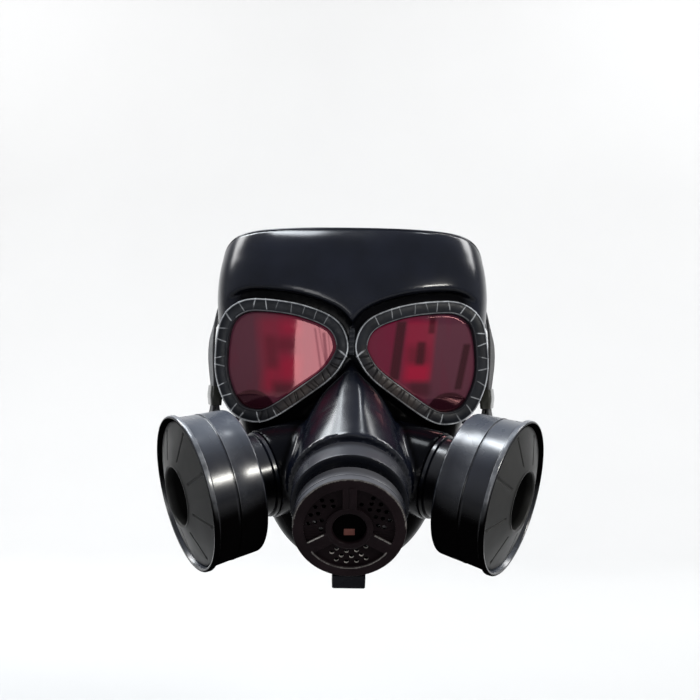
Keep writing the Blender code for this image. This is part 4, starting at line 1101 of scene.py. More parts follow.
    def _shade(self, points: np.ndarray, lens: FlatDistance) -> np.ndarray:
        """Painted shade at the shell's corners: darker in the moats round the goggles, on the nose's flanks beside
        them and on the cheeks.
        """
        right = np.column_stack([np.abs(points[:, 0]), points[:, 1:]])
        local = self.outline.local(right)
        moved = lens.at(local[:, :2] - np.array(self.moat_shift))
        skin = self.form.distance(right)
        near = np.clip((self.moat + 1.5 * MM - moved) / (1.5 * MM), 0, 1) * (local[:, 2] > -14 * MM)
        moat = near * np.clip((-skin - 1.5 * MM) / (3.0 * MM), 0, 1)
        flank = 0.9 * np.clip((self.moat + 9 * MM - moved) / (7 * MM), 0, 1) * (right[:, 2] < -2 * MM)
        moat = np.maximum(moat, flank)
        beside = np.clip((self.form.nose(right, 0.0) - 0.5 * MM) / (3 * MM), 0, 1)
        low = np.clip((-4 * MM - right[:, 2]) / (10 * MM), 0, 1)
        low = low * np.clip((84 * MM - right[:, 0]) / (14 * MM), 0,
                            1) * np.clip((26 * MM - right[:, 1]) / (20 * MM), 0, 1)
        cheek = beside * low * (0.85 + 0.25 * np.clip((7 * MM - skin) / (4 * MM), 0, 1))
        return self.moat_shade * np.maximum(moat, cheek)

    def _rolled_edge(self) -> tuple:
        """The smooth bead along the shell's back edge: its points and faces."""
        keys = np.array([(depth, height) for height, depth in self.edge], dtype=float) * MM
        line = curve_points(keys, 6, closed=False)
        turns = 2 * np.pi * np.arange(self.edge_steps) / self.edge_steps
        ways = np.column_stack([np.sin(turns), np.zeros(len(turns)), np.cos(turns)])

        def place(reach: np.ndarray) -> np.ndarray:
            """The places on the edge's sheet at some distances from the mask's middle."""
            spot = reach[:, None] * ways - 30 * MM * UP
            spot[:, 1] = np.interp(spot[:, 2], line[:, 1], line[:, 0]) - 0.9 * MM
            return spot

        near, far = np.full(len(turns), 20 * MM), np.full(len(turns), 150 * MM)
        for _ in range(26):
            middle = (near + far) / 2
            spot = place(middle)
            spot[:, 0] = np.abs(spot[:, 0])
            outside = self.form.distance(spot) > -self.wall / 2
            near, far = np.where(outside, near, middle), np.where(outside, middle, far)
        spots = place(near)
        along = np.roll(spots, -1, axis=0) - np.roll(spots, 1, axis=0)
        along /= np.linalg.norm(along, axis=1)[:, None]
        first = ways - (ways * along).sum(1)[:, None] * along
        first /= np.linalg.norm(first, axis=1)[:, None]
        second = np.cross(along, first)
        angles = 2 * np.pi * np.arange(12) / 12
        rings = [spots + self.edge_bead * (math.cos(a) * first + math.sin(a) * second) for a in angles]
        return np.vstack(rings), grid_faces(len(rings), len(spots), True, True)

    def _ring(self, middle: np.ndarray, front: float, radius: float, back: float) -> tuple:
        """One of the snout's rings, turned about its axis, with a fine bevel on its front edge.

        Args:
            middle: A point on its axis.
            front: How far its front lies in front of that point.
            radius: Its radius.
            back: How far its back lies in front of that point.

        Returns:
            The points and the faces.
        """
        inner = radius - self.wall - 2 * MM
        profile = [(back, inner), (back, radius), ((back + front) / 2, radius), (front - 1.2 * MM, radius)]
        profile += rounded(radius - 0.5 * MM, front - 0.5 * MM, 0.5 * MM, 0, 90, 6)
        profile += [(front, radius - 1.2 * MM), (front, inner)]
        return turned(profile, middle, self.form.axis, RIGHT, 220)


@dataclass(frozen=True)
class Goggle:
    """One goggle: a stitched rim with a bead on its outer edge, round a domed red lens."""

    side: Side
    outline: LensOutline
    rim_finish: RimRubber
    lens_finish: TintedLens
    around: int = 900
    base: float = -5.7 * MM
    thickness: float = 2.0 * MM
    dome: float = 2.2 * MM
    dome_middle: tuple = (38.0 * MM, -1.0 * MM)
    dome_reach: tuple = (38.0 * MM, 33.0 * MM)
    ridges: int = 19
    puckers: int = 17
    section: tuple = (
        (0.0, -5.7), (0.0, -2.4), (0.05, -1.6), (0.3, -1.05), (0.6, -0.85), (0.95, -0.85), (1.25, -1.05),
        (1.6, -0.95), (2.2, -0.78), (3.2, -0.66), (4.2, -0.60), (5.2, -0.64), (6.1, -0.74), (6.8, -0.90),
        (7.1, -0.98), (7.3, -0.72), (7.5, -0.42), (7.85, -0.28), (8.2, -0.45), (8.42, -0.95), (8.45, -1.7),
        (8.35, -3.2), (8.2, -5.7),
    )

    def _places(self) -> tuple:
        """Where the ridges and the puckers lie along the outline, as shares, with each one's strength."""
        rng = np.random.default_rng(SEED + self.side.value)
        ridges = np.linspace(0.07, 0.72, self.ridges) + rng.uniform(-0.007, 0.007, self.ridges)
        ridges = np.append(ridges, [0.985])
        strengths = rng.uniform(0.45, 1.0, len(ridges)) * np.where(ridges < 0.24, 0.45, 1.0)
        puckers = np.linspace(0.69, 0.97, self.puckers) + rng.uniform(-0.007, 0.007, self.puckers)
        return ridges, strengths, puckers, rng.uniform(0.3, 1.0, self.puckers)

    def _bands(self, along: np.ndarray, total: float, offset: float) -> tuple:
        """The rim's ridges and creases at one distance from the lens.

        Args:
            along: Places along the outline, as shares of its length.
            total: The outline's length.
            offset: How far outwards from the lens, in millimetres.

        Returns:
            How much of a ridge and of a crease each place is, from 0 to 1.
        """
        ridges, strengths, puckers, depths = self._places()
        ridge, crease = np.zeros_like(along), np.zeros_like(along)
        for place, strength in zip(ridges, strengths):
            off = (along - place + 0.5) % 1.0 - 0.5
            lean = 0.25 * MM * (offset - 4) * math.sin(91 * place)
            start = 0.6 + 3.2 * (math.sin(37 * place) ** 4)
            strip = strength * np.exp(-(((off * total + lean) / (0.22 * MM)) ** 2))
            ridge = np.maximum(ridge, strip * np.clip((offset - start) / 0.8 + 0.5, 0.12, 1))
        for place, depth in zip(puckers, depths):
            off = (along - place + 0.5) % 1.0 - 0.5
            lean = 0.30 * MM * (offset - 4) * math.sin(57 * place)
            crease = np.maximum(crease, depth * np.exp(-(((off * total + lean) / (0.42 * MM)) ** 2)))
        return ridge, crease

    def rim(self) -> bpy.types.Object:
        """The leathery band round the lens, with thin ridges across it and a bead along its outer edge."""
        line = self.outline.even_line(self.around)
        outward = self.outline.outward(line)
        steps = np.linalg.norm(np.roll(line, -1, axis=0) - line, axis=1)
        total = steps.sum()
        along = np.concatenate([[0], np.cumsum(steps)[:-1]]) / total
        rings, painted_highlight_marks, painted_crease_shade_marks = [], [], []
        low_inner = np.exp(-(((along - 0.83) / 0.10) ** 2))
        for offset, lift in self.section:
            ridge, crease = self._bands(along, total, offset)
            face = float(lift > -1.8 and offset > 1.3)
            bead = float(np.exp(-(((offset - 8.0) / 0.42) ** 2))) * float(lift > -1.2)
            lip = float(np.exp(-(((offset - 0.6) / 0.25) ** 2)))
            swell = 0.12 * MM * low_inner * np.sin(np.pi * np.clip((offset - 1.5) / 5.5, 0, 1))
            relief = face * (0.14 * MM * ridge - 0.65 * MM * crease + swell * (1 - crease))
            reach = offset * MM + float(offset > 7.0) * 0.25 * MM * ridge
            rings.append(self.outline.place(self.side, line + outward * reach[:, None], lift * MM + relief))
            # Painted highlights on the ridges, the bead and the lens's lip; painted shade in the creases.
            bead_share = 0.95 - 0.70 * low_inner - 0.45 * np.exp(-(((along - 0.07) / 0.07) ** 2))
            lip_share = 0.25 * (along < 0.35) + 0.45 * low_inner
            painted_highlight_marks.append(np.clip(face * ridge + bead * bead_share + lip * lip_share, 0, 1))
            painted_crease_shade_marks.append(face * crease + np.zeros_like(along))
        faces = grid_faces(len(rings), self.around, True, True)
        item = add_mesh(f"goggle_rim_{self.side.label}_leather", np.vstack(rings), faces,
                        self.rim_finish.build())
        # Kept as "ridge": painted highlights; kept as "crease": painted shade.
        mark(item, "ridge", np.concatenate(painted_highlight_marks))
        mark(item, "crease", np.concatenate(painted_crease_shade_marks))
        mark(item, "leather", np.tile(low_inner, len(rings)))
        return settle(item, [f"goggle_rim_{self.side.label}"])

    def _lens_lift(self, flat: np.ndarray) -> np.ndarray:
        """How far the lens's dome stands in front of its base at some places of the flat drawing."""
        share = (flat - np.array(self.dome_middle)) / np.array(self.dome_reach)
        return self.dome * (1 - (share**2).sum(1))

    def lens(self) -> bpy.types.Object:
        """The domed lens, closed all round, its edge a little inside the rim."""
        line = self.outline.even_line(300)
        edge = line - self.outline.outward(line) * GAP
        middle = edge.mean(axis=0)
        shares = np.linspace(1.0, 0.02, 30)
        rings = []
        for share in shares[::-1]:
            flat = middle + (edge - middle) * share
            lift = self.base + np.maximum(self._lens_lift(flat), 0.0)
            rings.append(self.outline.place(self.side, flat, lift))
        for share in shares:
            flat = middle + (edge - middle) * share
            lift = self.base + self.thickness + self._lens_lift(flat) - 0.3 * MM * (share > 0.999)
            rings.append(self.outline.place(self.side, flat, lift))
        faces = grid_faces(len(rings), len(line), False, True).tolist()
        last = (len(rings) - 1) * len(line)
        faces.append(list(range(len(line))))
        faces.append(list(range(last, last + len(line))))
        item = add_mesh(f"lens_{self.side.label}_domed", np.vstack(rings), faces, self.lens_finish.build())
        return settle(item, [f"lens_{self.side.label}"])

    def build(self) -> list:
        """Both pieces of the goggle."""
        return [self.rim(), self.lens()]


@dataclass(frozen=True)
class Drum:
    """A filter drum: its round body, its cone-shaped cover with an inlet tube, and the collar behind it."""

    body_finish: MouldedPlastic
    cover_finish: MouldedPlastic
    axis: tuple = (0.88, -0.42, -0.21)
    rim_centre: tuple = (103.0 * MM, -61.5 * MM, -91.5 * MM)
    length: float = 37.0 * MM
    radius: float = 48.0 * MM
    back_radius: float = 46.0 * MM
    rim_radius: float = 50.0 * MM
    rim_width: float = 3.6 * MM
    wall: float = 2.6 * MM
    groove_place: float = 18.0 * MM
    hole_radius: float = 18.5 * MM
    cover_rise: float = 8.0 * MM
    cover_seat: float = 2.5 * MM
    tube_depth: float = 30.0 * MM
    air_radius: float = 12.0 * MM
    collar_length: float = 17.0 * MM
    collar_radius: float = 26.0 * MM
    sides: int = 192
    grooves: int = 8
    groove_inner: float = 24.0 * MM
    groove_outer: float = 42.0 * MM

    def inner_end(self, side: Side) -> tuple:
        """The middle of the drum's inner end, and its outward direction."""
        axis = side.place(unit(self.axis))
        return side.place(np.array(self.rim_centre)) - self.length * axis, axis

    def across(self, side: Side) -> tuple:
        """Two directions across the drum: level, and as upright as can be."""
        _, axis = self.inner_end(side)
        level = unit(np.cross(axis, UP))
        return level, np.cross(level, axis)

    def turn_profile(self, side: Side, profile: Sequence, sides: int) -> tuple:
        """Points and faces of a closed profile turned about the drum's axis."""
        start, axis = self.inner_end(side)
        return turned(profile, start, axis, self.across(side)[0], sides)

    def body(self, side: Side) -> bpy.types.Object:
        """The drum's body with its rolled rim and the groove round its middle."""
        taper = (self.radius - self.back_radius) / self.length
        groove = self.back_radius + taper * self.groove_place
        rim = self.length - self.rim_width
        profile = [(0, self.air_radius), (0, self.back_radius - 3 * MM)]
        profile += rounded(self.back_radius - 2 * MM, 2 * MM, 2 * MM, -90, 0, 8)
        profile += [
            (6 * MM, self.back_radius + taper * 6 * MM),
            (self.groove_place - 0.5 * MM, groove + 0.02 * MM),
            (self.groove_place - 0.1 * MM, groove + 0.25 * MM),
            (self.groove_place + 0.3 * MM, groove + 0.2 * MM),
            (self.groove_place + 0.5 * MM, groove - 0.5 * MM),
            (self.groove_place + 0.9 * MM, groove - 0.6 * MM),
            (self.groove_place + 1.3 * MM, groove - 0.45 * MM),
            (self.groove_place + 1.6 * MM, groove + 0.05 * MM),
            (self.groove_place + 2.6 * MM, groove + 0.1 * MM),
            (rim - 1.2 * MM, self.radius),
            (rim - 0.3 * MM, self.radius + 0.2 * MM),
        ]
        profile += rounded(self.rim_radius - 0.7 * MM, rim + 0.7 * MM, 0.7 * MM, -90, 0, 5)
        profile += rounded(self.rim_radius - 1.3 * MM, self.length - 1.3 * MM, 1.3 * MM, 0, 90, 8)
        profile += [
            (self.length - 0.2 * MM, self.rim_radius - self.wall + 0.4 * MM),
            (self.length - 0.8 * MM, self.rim_radius - self.wall),
            (self.wall, self.back_radius - self.wall),
            (self.wall, self.air_radius),
        ]
        points, faces = self.turn_profile(side, profile, self.sides)
        item = add_mesh(f"canister_body_{side.label}_drum", points, faces, self.body_finish.build())
        # Painted shade on the drum's underside.
        mark(item, "shade", undersides(item, 0.30, -0.25, 1.0))
        # Painted sheen: a lighter tone on the drum's top.
        mark(item, "satin", 0.35 - undersides(item, 0.92, 0.40, 0.35))
        # Pale lines at the groove, the rim and the inner end, kept as "ridge": painted highlights.
        along = np.array([place for place, _ in profile])
        reach = np.array([radius for _, radius in profile])
        outer = reach > self.back_radius - 1 * MM
        wear_and_highlight = np.exp(-(((along - self.groove_place + 0.1 * MM) / (0.35 * MM)) ** 2)) * 0.5 * outer
        wear_and_highlight = np.maximum(wear_and_highlight, 0.7 * (reach > self.rim_radius - 0.25 * MM))
        wear_and_highlight = np.maximum(wear_and_highlight, 0.4 * np.exp(-(((along - 1.2 * MM) / (0.5 * MM)) ** 2)) * outer)
        mark(item, "ridge", np.repeat(wear_and_highlight, self.sides))
        return settle(item, [f"canister_body_{side.label}"])

    def cover(self, side: Side) -> bpy.types.Object:
        """The cone-shaped cover, with engraved radial grooves and its inlet tube."""
        outer = self.rim_radius - self.wall - 4 * GAP
        seat = self.length - self.cover_seat
        top = seat + self.cover_rise
        slope = self.cover_rise / (outer - self.hole_radius)
        radii = np.linspace(outer - 0.6 * MM, self.hole_radius + 1.4 * MM, 56)
        profile = [(seat - 1.0 * MM, outer - 0.2 * MM), (seat - 0.4 * MM, outer)]
        profile += [(top - (radius - self.hole_radius) * slope, radius) for radius in radii]
        cone = (2, 2 + len(radii))
        profile += rounded(self.hole_radius + 1.2 * MM, top - 1.2 * MM, 1.2 * MM, 75, 180, 7)
        profile += [
            (top - 6 * MM, self.hole_radius - 0.1 * MM),
            (top - self.tube_depth, self.hole_radius - 0.8 * MM),
            (top - self.tube_depth, self.hole_radius + 1.0 * MM),
            (top - 4 * MM, self.hole_radius + 1.8 * MM),
            (seat - 2.0 * MM, outer - 0.8 * MM),
        ]
        sides = 720
        start, axis = self.inner_end(side)
        level, upright = self.across(side)
        turns = 2 * np.pi * np.arange(sides) / sides
        ways = np.cos(turns)[:, None] * level + np.sin(turns)[:, None] * upright
        rings = []
        for row, (along, radius) in enumerate(profile):
            dip = np.zeros(sides)
            if cone[0] <= row < cone[1]:
                dip = self._groove_dip(turns, radius)
            rings.append(start + (along - dip)[:, None] * axis + radius * ways)
        faces = grid_faces(len(rings), sides, True, True)
        item = add_mesh(f"canister_cover_{side.label}_cone", np.vstack(rings), faces,
                        self.cover_finish.build())
        # Painted shade deep in the inlet tube and on the cover's underside.
        depth = [(top - along) / (7 * MM) * (radius < self.hole_radius + 0.3 * MM) for along,
                 radius in profile]
        mark(item, "shade",
             np.maximum(np.repeat(np.clip(depth, 0, 1), sides), undersides(item, 0.15, -0.4, 0.5)))
        return settle(item, [f"canister_cover_{side.label}"])

    def _groove_dip(self, turns: np.ndarray, radius: float) -> np.ndarray:
        """How deep the radial grooves are round the cover at one radius."""
        dip = np.zeros_like(turns)
        ends = min(radius - self.groove_inner, self.groove_outer - radius)
        depth = 0.7 * MM * np.clip(ends / (0.6 * MM) + 0.5, 0, 1)
        for groove in range(self.grooves):
            middle = 2 * np.pi * (groove + 0.5) / self.grooves
            off = (turns - middle + np.pi) % (2 * np.pi) - np.pi
            dip = np.maximum(dip, depth * np.exp(-((off * radius / (0.75 * MM)) ** 4)))
            dot = np.hypot(off * radius, radius - self.groove_outer) / (1.3 * MM)
            dip = np.maximum(dip, 0.8 * MM * np.exp(-(dot**4)))
        return dip

    def collar(self, side: Side) -> bpy.types.Object:
        """The collar between the drum and the cheek, with a flange on the cheek's side."""
        inner, bore = -self.collar_length, self.air_radius + 1 * MM
        flange = self.collar_radius + 1.5 * MM
        profile = [(inner, bore), (inner, flange - 0.5 * MM)]
        profile += [(inner + 0.5 * MM, flange), (inner + 2.5 * MM, flange),
                    (inner + 3.0 * MM, flange - 0.5 * MM)]
        profile += [(inner + 3.4 * MM, self.collar_radius), (-GAP, self.collar_radius), (-GAP, bore)]
        points, faces = self.turn_profile(side, profile, 120)
        item = add_mesh(f"neck_collar_{side.label}_ring", points, faces, self.body_finish.build())
        # Painted shade on the collar's underside.
        mark(item, "shade", undersides(item, 0.30, -0.20, 0.92))
        return settle(item, [f"neck_collar_{side.label}"])

    def build(self) -> list:
        """Both sides' drums, covers and collars."""
        return [make(side) for side in Side for make in (self.body, self.cover, self.collar)]


@dataclass(frozen=True)
class ValveCover:
    """The disc on the snout: three sunk, pierced fields between spokes, round a hub with a slot."""

    finish: MouldedPlastic
    form: Form
    pitch: float = 0.5 * MM
    radius: float = 34.4 * MM
    thickness: float = 5.0 * MM
    field_outer: float = 28.0 * MM
    field_inner: float = 13.8 * MM
    field_depth: float = 2.0 * MM
    floor: float = 1.8 * MM
    hub_hole: float = 10.2 * MM
    hub_depth: float = 5.0 * MM
    spoke: float = 7.5 * MM
    hole_radius: float = 1.4 * MM
    rows: tuple = (17.2 * MM, 20.9 * MM, 24.6 * MM)
    row_holes: int = 4
    hole_step: float = math.radians(17)

    def _holes(self) -> np.ndarray:
        """The middles of the holes, as (right, up) pairs."""
        places = []
        for sector in range(3):
            middle = 2 * math.pi * (sector + 0.5) / 3
            for row, radius in enumerate(self.rows):
                for hole in range(self.row_holes):
                    shift = (hole - 1.5 + (0.25 if row % 2 else -0.25)) * self.hole_step
                    turn = middle + shift * self.rows[1] / radius
                    places.append((radius * math.sin(turn), radius * math.cos(turn)))
        return np.array(places)

    def distance(self, points: np.ndarray) -> np.ndarray:
        """Distance from the cover, in its own axes: right, up, and forwards from its face."""
        reach = np.hypot(points[:, 0], points[:, 1])
        front = points[:, 2]
        body = meet(meet(reach - self.radius, front, 0.9 * MM), -self.thickness - front, 0.2 * MM)
        sunk = meet(np.maximum(reach - self.field_outer, self.field_inner - reach),
                    -self.field_depth - front, 0.5 * MM)
        spokes = np.full(len(points), np.inf)
        for turn in (0.0, 2 * math.pi / 3, 4 * math.pi / 3):
            across = points[:, 0] * math.cos(turn) - points[:, 1] * math.sin(turn)
            outward = points[:, 0] * math.sin(turn) + points[:, 1] * math.cos(turn)
            spokes = np.minimum(spokes, np.maximum(np.abs(across) - self.spoke / 2, -outward))
        sunk = cut(sunk, spokes, 0.6 * MM)
        body = cut(body, sunk, 0.7 * MM)
        lip = np.abs(np.maximum(np.maximum(reach - self.field_outer, self.field_inner - reach), -spokes))
        lip = meet(lip - 0.55 * MM, np.abs(front) - 0.25 * MM, 0.3 * MM)
        body = join(body, lip, 0.3 * MM)
        bar = meet(np.abs(points[:, 0] - 1.9 * MM) - 1.9 * MM, np.abs(points[:, 1] - 21.5 * MM) - 7.0 * MM,
                   0.5 * MM)
        body = join(body, meet(bar, np.abs(front) - 0.75 * MM, 0.4 * MM), 0.4 * MM)
        slats = np.abs((points[:, 1] + 8.0 * MM + 1.0 * MM) % (2.0 * MM) - 1.0 * MM) - 0.35 * MM
        slats = np.maximum(slats, np.abs(points[:, 1] + 5.0 * MM) - 4.6 * MM)
        slats = np.maximum(slats, np.abs(front + self.field_depth) - 0.5 * MM)
        slats = np.maximum(slats, np.maximum(reach - self.field_outer, self.field_inner - reach))
        body = join(body, slats, 0.3 * MM)
        hub = meet(np.abs(reach - 12.0 * MM) - 1.6 * MM, np.abs(front + 1 * MM) - 1.6 * MM, 0.8 * MM)
        body = join(body, hub, 0.5 * MM)
        cup = np.maximum(reach - self.hub_hole - 1.8 * MM, np.abs(front + 4 * MM) - 2.8 * MM)
        body = join(body, cup, 0.3 * MM)
        body = cut(body, np.maximum(reach - self.hub_hole, -self.hub_depth - front), 0.8 * MM)
        back = np.maximum(front + self.field_depth + self.floor, reach - (self.radius - 2.8 * MM))
        body = cut(body, np.maximum(back, self.hub_hole + 1.8 * MM - reach), 0.3 * MM)
        slot = np.maximum(np.abs(points[:, 0]) - 3.3 * MM, np.abs(points[:, 1] + 5.6 * MM) - 2.4 * MM)
        body = cut(body, np.maximum(slot, np.abs(front + 3.9 * MM) - 1.9 * MM), 0.2 * MM)
        for right, up in self._holes():
            if math.hypot(right + 14.6 * MM, up - 11.9 * MM) < 2.2 * MM:
                continue
            hole = np.hypot(points[:, 0] - right, points[:, 1] - up) - self.hole_radius
            body = np.maximum(body, -hole)
        return body

    def build(self) -> bpy.types.Object:
        """Mesh the cover and fasten it."""
        reach = self.radius + 1 * MM
        axes = np.array([RIGHT, self.form.rise, self.form.axis])
        contour = Contour(
            (-reach, -reach, -8 * MM), (reach, reach, 1.5 * MM), self.pitch, axes=axes,
            origin=np.array(self.form.snout_face),
        )
        points, faces = contour.mesh(self.distance)
        item = add_mesh("valve_cover_disc", points, faces, self.finish.build())
        local = (points - np.array(self.form.snout_face)) @ axes.T
        reach = np.hypot(local[:, 0], local[:, 1])
        deep = -local[:, 2]
        # Painted shade in the hub hole, on the sunk fields' floors and in the holes.
        hub = (reach < self.hub_hole + 0.1 * MM) * np.clip(deep / (2.5 * MM), 0, 1)
        sunk = 0.40 * np.clip((deep - 0.9 * MM) / MM, 0, 1) * (reach < self.field_outer + 0.4 * MM)
        side = (reach > self.radius - 0.7 * MM) & (deep > 0.35 * MM)
        # Painted glints on the walls of the lower holes.
        holes = self._holes()
        low = holes[holes[:, 1] < -12 * MM]
        apart = np.min(np.hypot(local[:, :1] - low[:, 0], local[:, 1:2] - low[:, 1]), axis=1)
        glint = (apart < self.hole_radius + 0.15 * MM) & (deep > self.field_depth + 0.15 * MM)
        within = np.min(np.hypot(local[:, :1] - holes[:, 0], local[:, 1:2] - holes[:, 1]), axis=1)
        pierced = (within < self.hole_radius + 0.12 * MM) & (deep > self.field_depth + 0.1 * MM)
        sunk = np.maximum(sunk, pierced)
        # Painted light: the floor of the hub's slot is pale pink.
        painted_slot_light = (np.abs(local[:, 0]) < 3.5 * MM) & (np.abs(local[:, 1] + 5.6 * MM) < 2.6 * MM) & (deep > 5.5
                                                                                                 * MM)
        # Thin pale lines along the bottom field's edge and the spokes' lower edges: painted highlights.
        turn = np.arctan2(local[:, 0], local[:, 1])
        lines = 0.20 * (np.abs(reach - self.field_outer) < 0.45 * MM) * (np.abs(turn) > 2.2) * (deep < 1.2
                                                                                                * MM)
        for way in (2 * math.pi / 3, -2 * math.pi / 3):
            across = (local[:, 0] * math.cos(way) - local[:, 1] * math.sin(way)) * math.copysign(1, way)
            edge = (np.abs(across + self.spoke / 2) < 0.45 * MM) & (reach > 16 * MM) & (reach < 27 * MM)
            lines = np.maximum(lines, 0.40 * edge * (deep < 1.2 * MM) * (np.cos(turn - way) > 0))
        mark(item, "shade", np.maximum(hub, sunk) * ~glint * ~painted_slot_light)
        # Painted sheen on the upward part of the cover's side.
        mark(item, "satin", side * (1 - undersides(item, 0.65, 0.15, 1.0)))
        mark(item, "painted_slot_light", painted_slot_light)
        # A painted highlight along the upper front edge.
        lines = np.maximum(lines,
                           0.22 * (reach > self.radius - 0.8 * MM) * (deep < 0.4 * MM) * (local[:, 1] > 0))
        mark(item, "ridge", np.maximum(glint, lines))
        return settle(item, ["valve_cover"])


@dataclass(frozen=True)
class BridgeStrip:
    """The small ribbed strip that stands between the two goggle rims."""

    finish: RimRubber
    front_half: float = 2.0 * MM
    back_half: float = 0.8 * MM
    bottom: float = -3.0 * MM
    top: float = 14.0 * MM
    front: float = -35.2 * MM
    back: float = -30.8 * MM
    ribs: int = 5
    rib_height: float = 0.7 * MM
    levels: int = 81

    def build(self) -> bpy.types.Object:
        """Mesh the strip with rounded ribs across it."""
        rings = []
        for share in np.linspace(0, 1, self.levels):
            height = self.bottom + (self.top - self.bottom) * share
            rib = self.rib_height * (0.5 - 0.5 * math.cos(2 * math.pi * self.ribs * share)) ** 0.6
            front = self.front + self.rib_height - rib
            end = 1 - 0.25 * max(0.0, abs(share - 0.5) * 2 - 0.9) / 0.1
            rings.append([
                (-self.back_half, self.back, height), (self.back_half, self.back, height),
                (self.front_half * end, front + 1.2 * MM, height),
                (self.front_half * 0.75 * end, front + 0.3 * MM, height),
                (0, front, height),
                (-self.front_half * 0.75 * end, front + 0.3 * MM, height),
                (-self.front_half * end, front + 1.2 * MM, height),
            ])
        count = len(rings[0])
        faces = grid_faces(self.levels, count, False, True).tolist()
        faces.append(list(range(count)))
        faces.append(list(range((self.levels - 1) * count, self.levels * count)))
        item = add_mesh("bridge_strip_ribbed", np.vstack(rings), faces, self.finish.build())
        return settle(item, ["bridge_strip"])


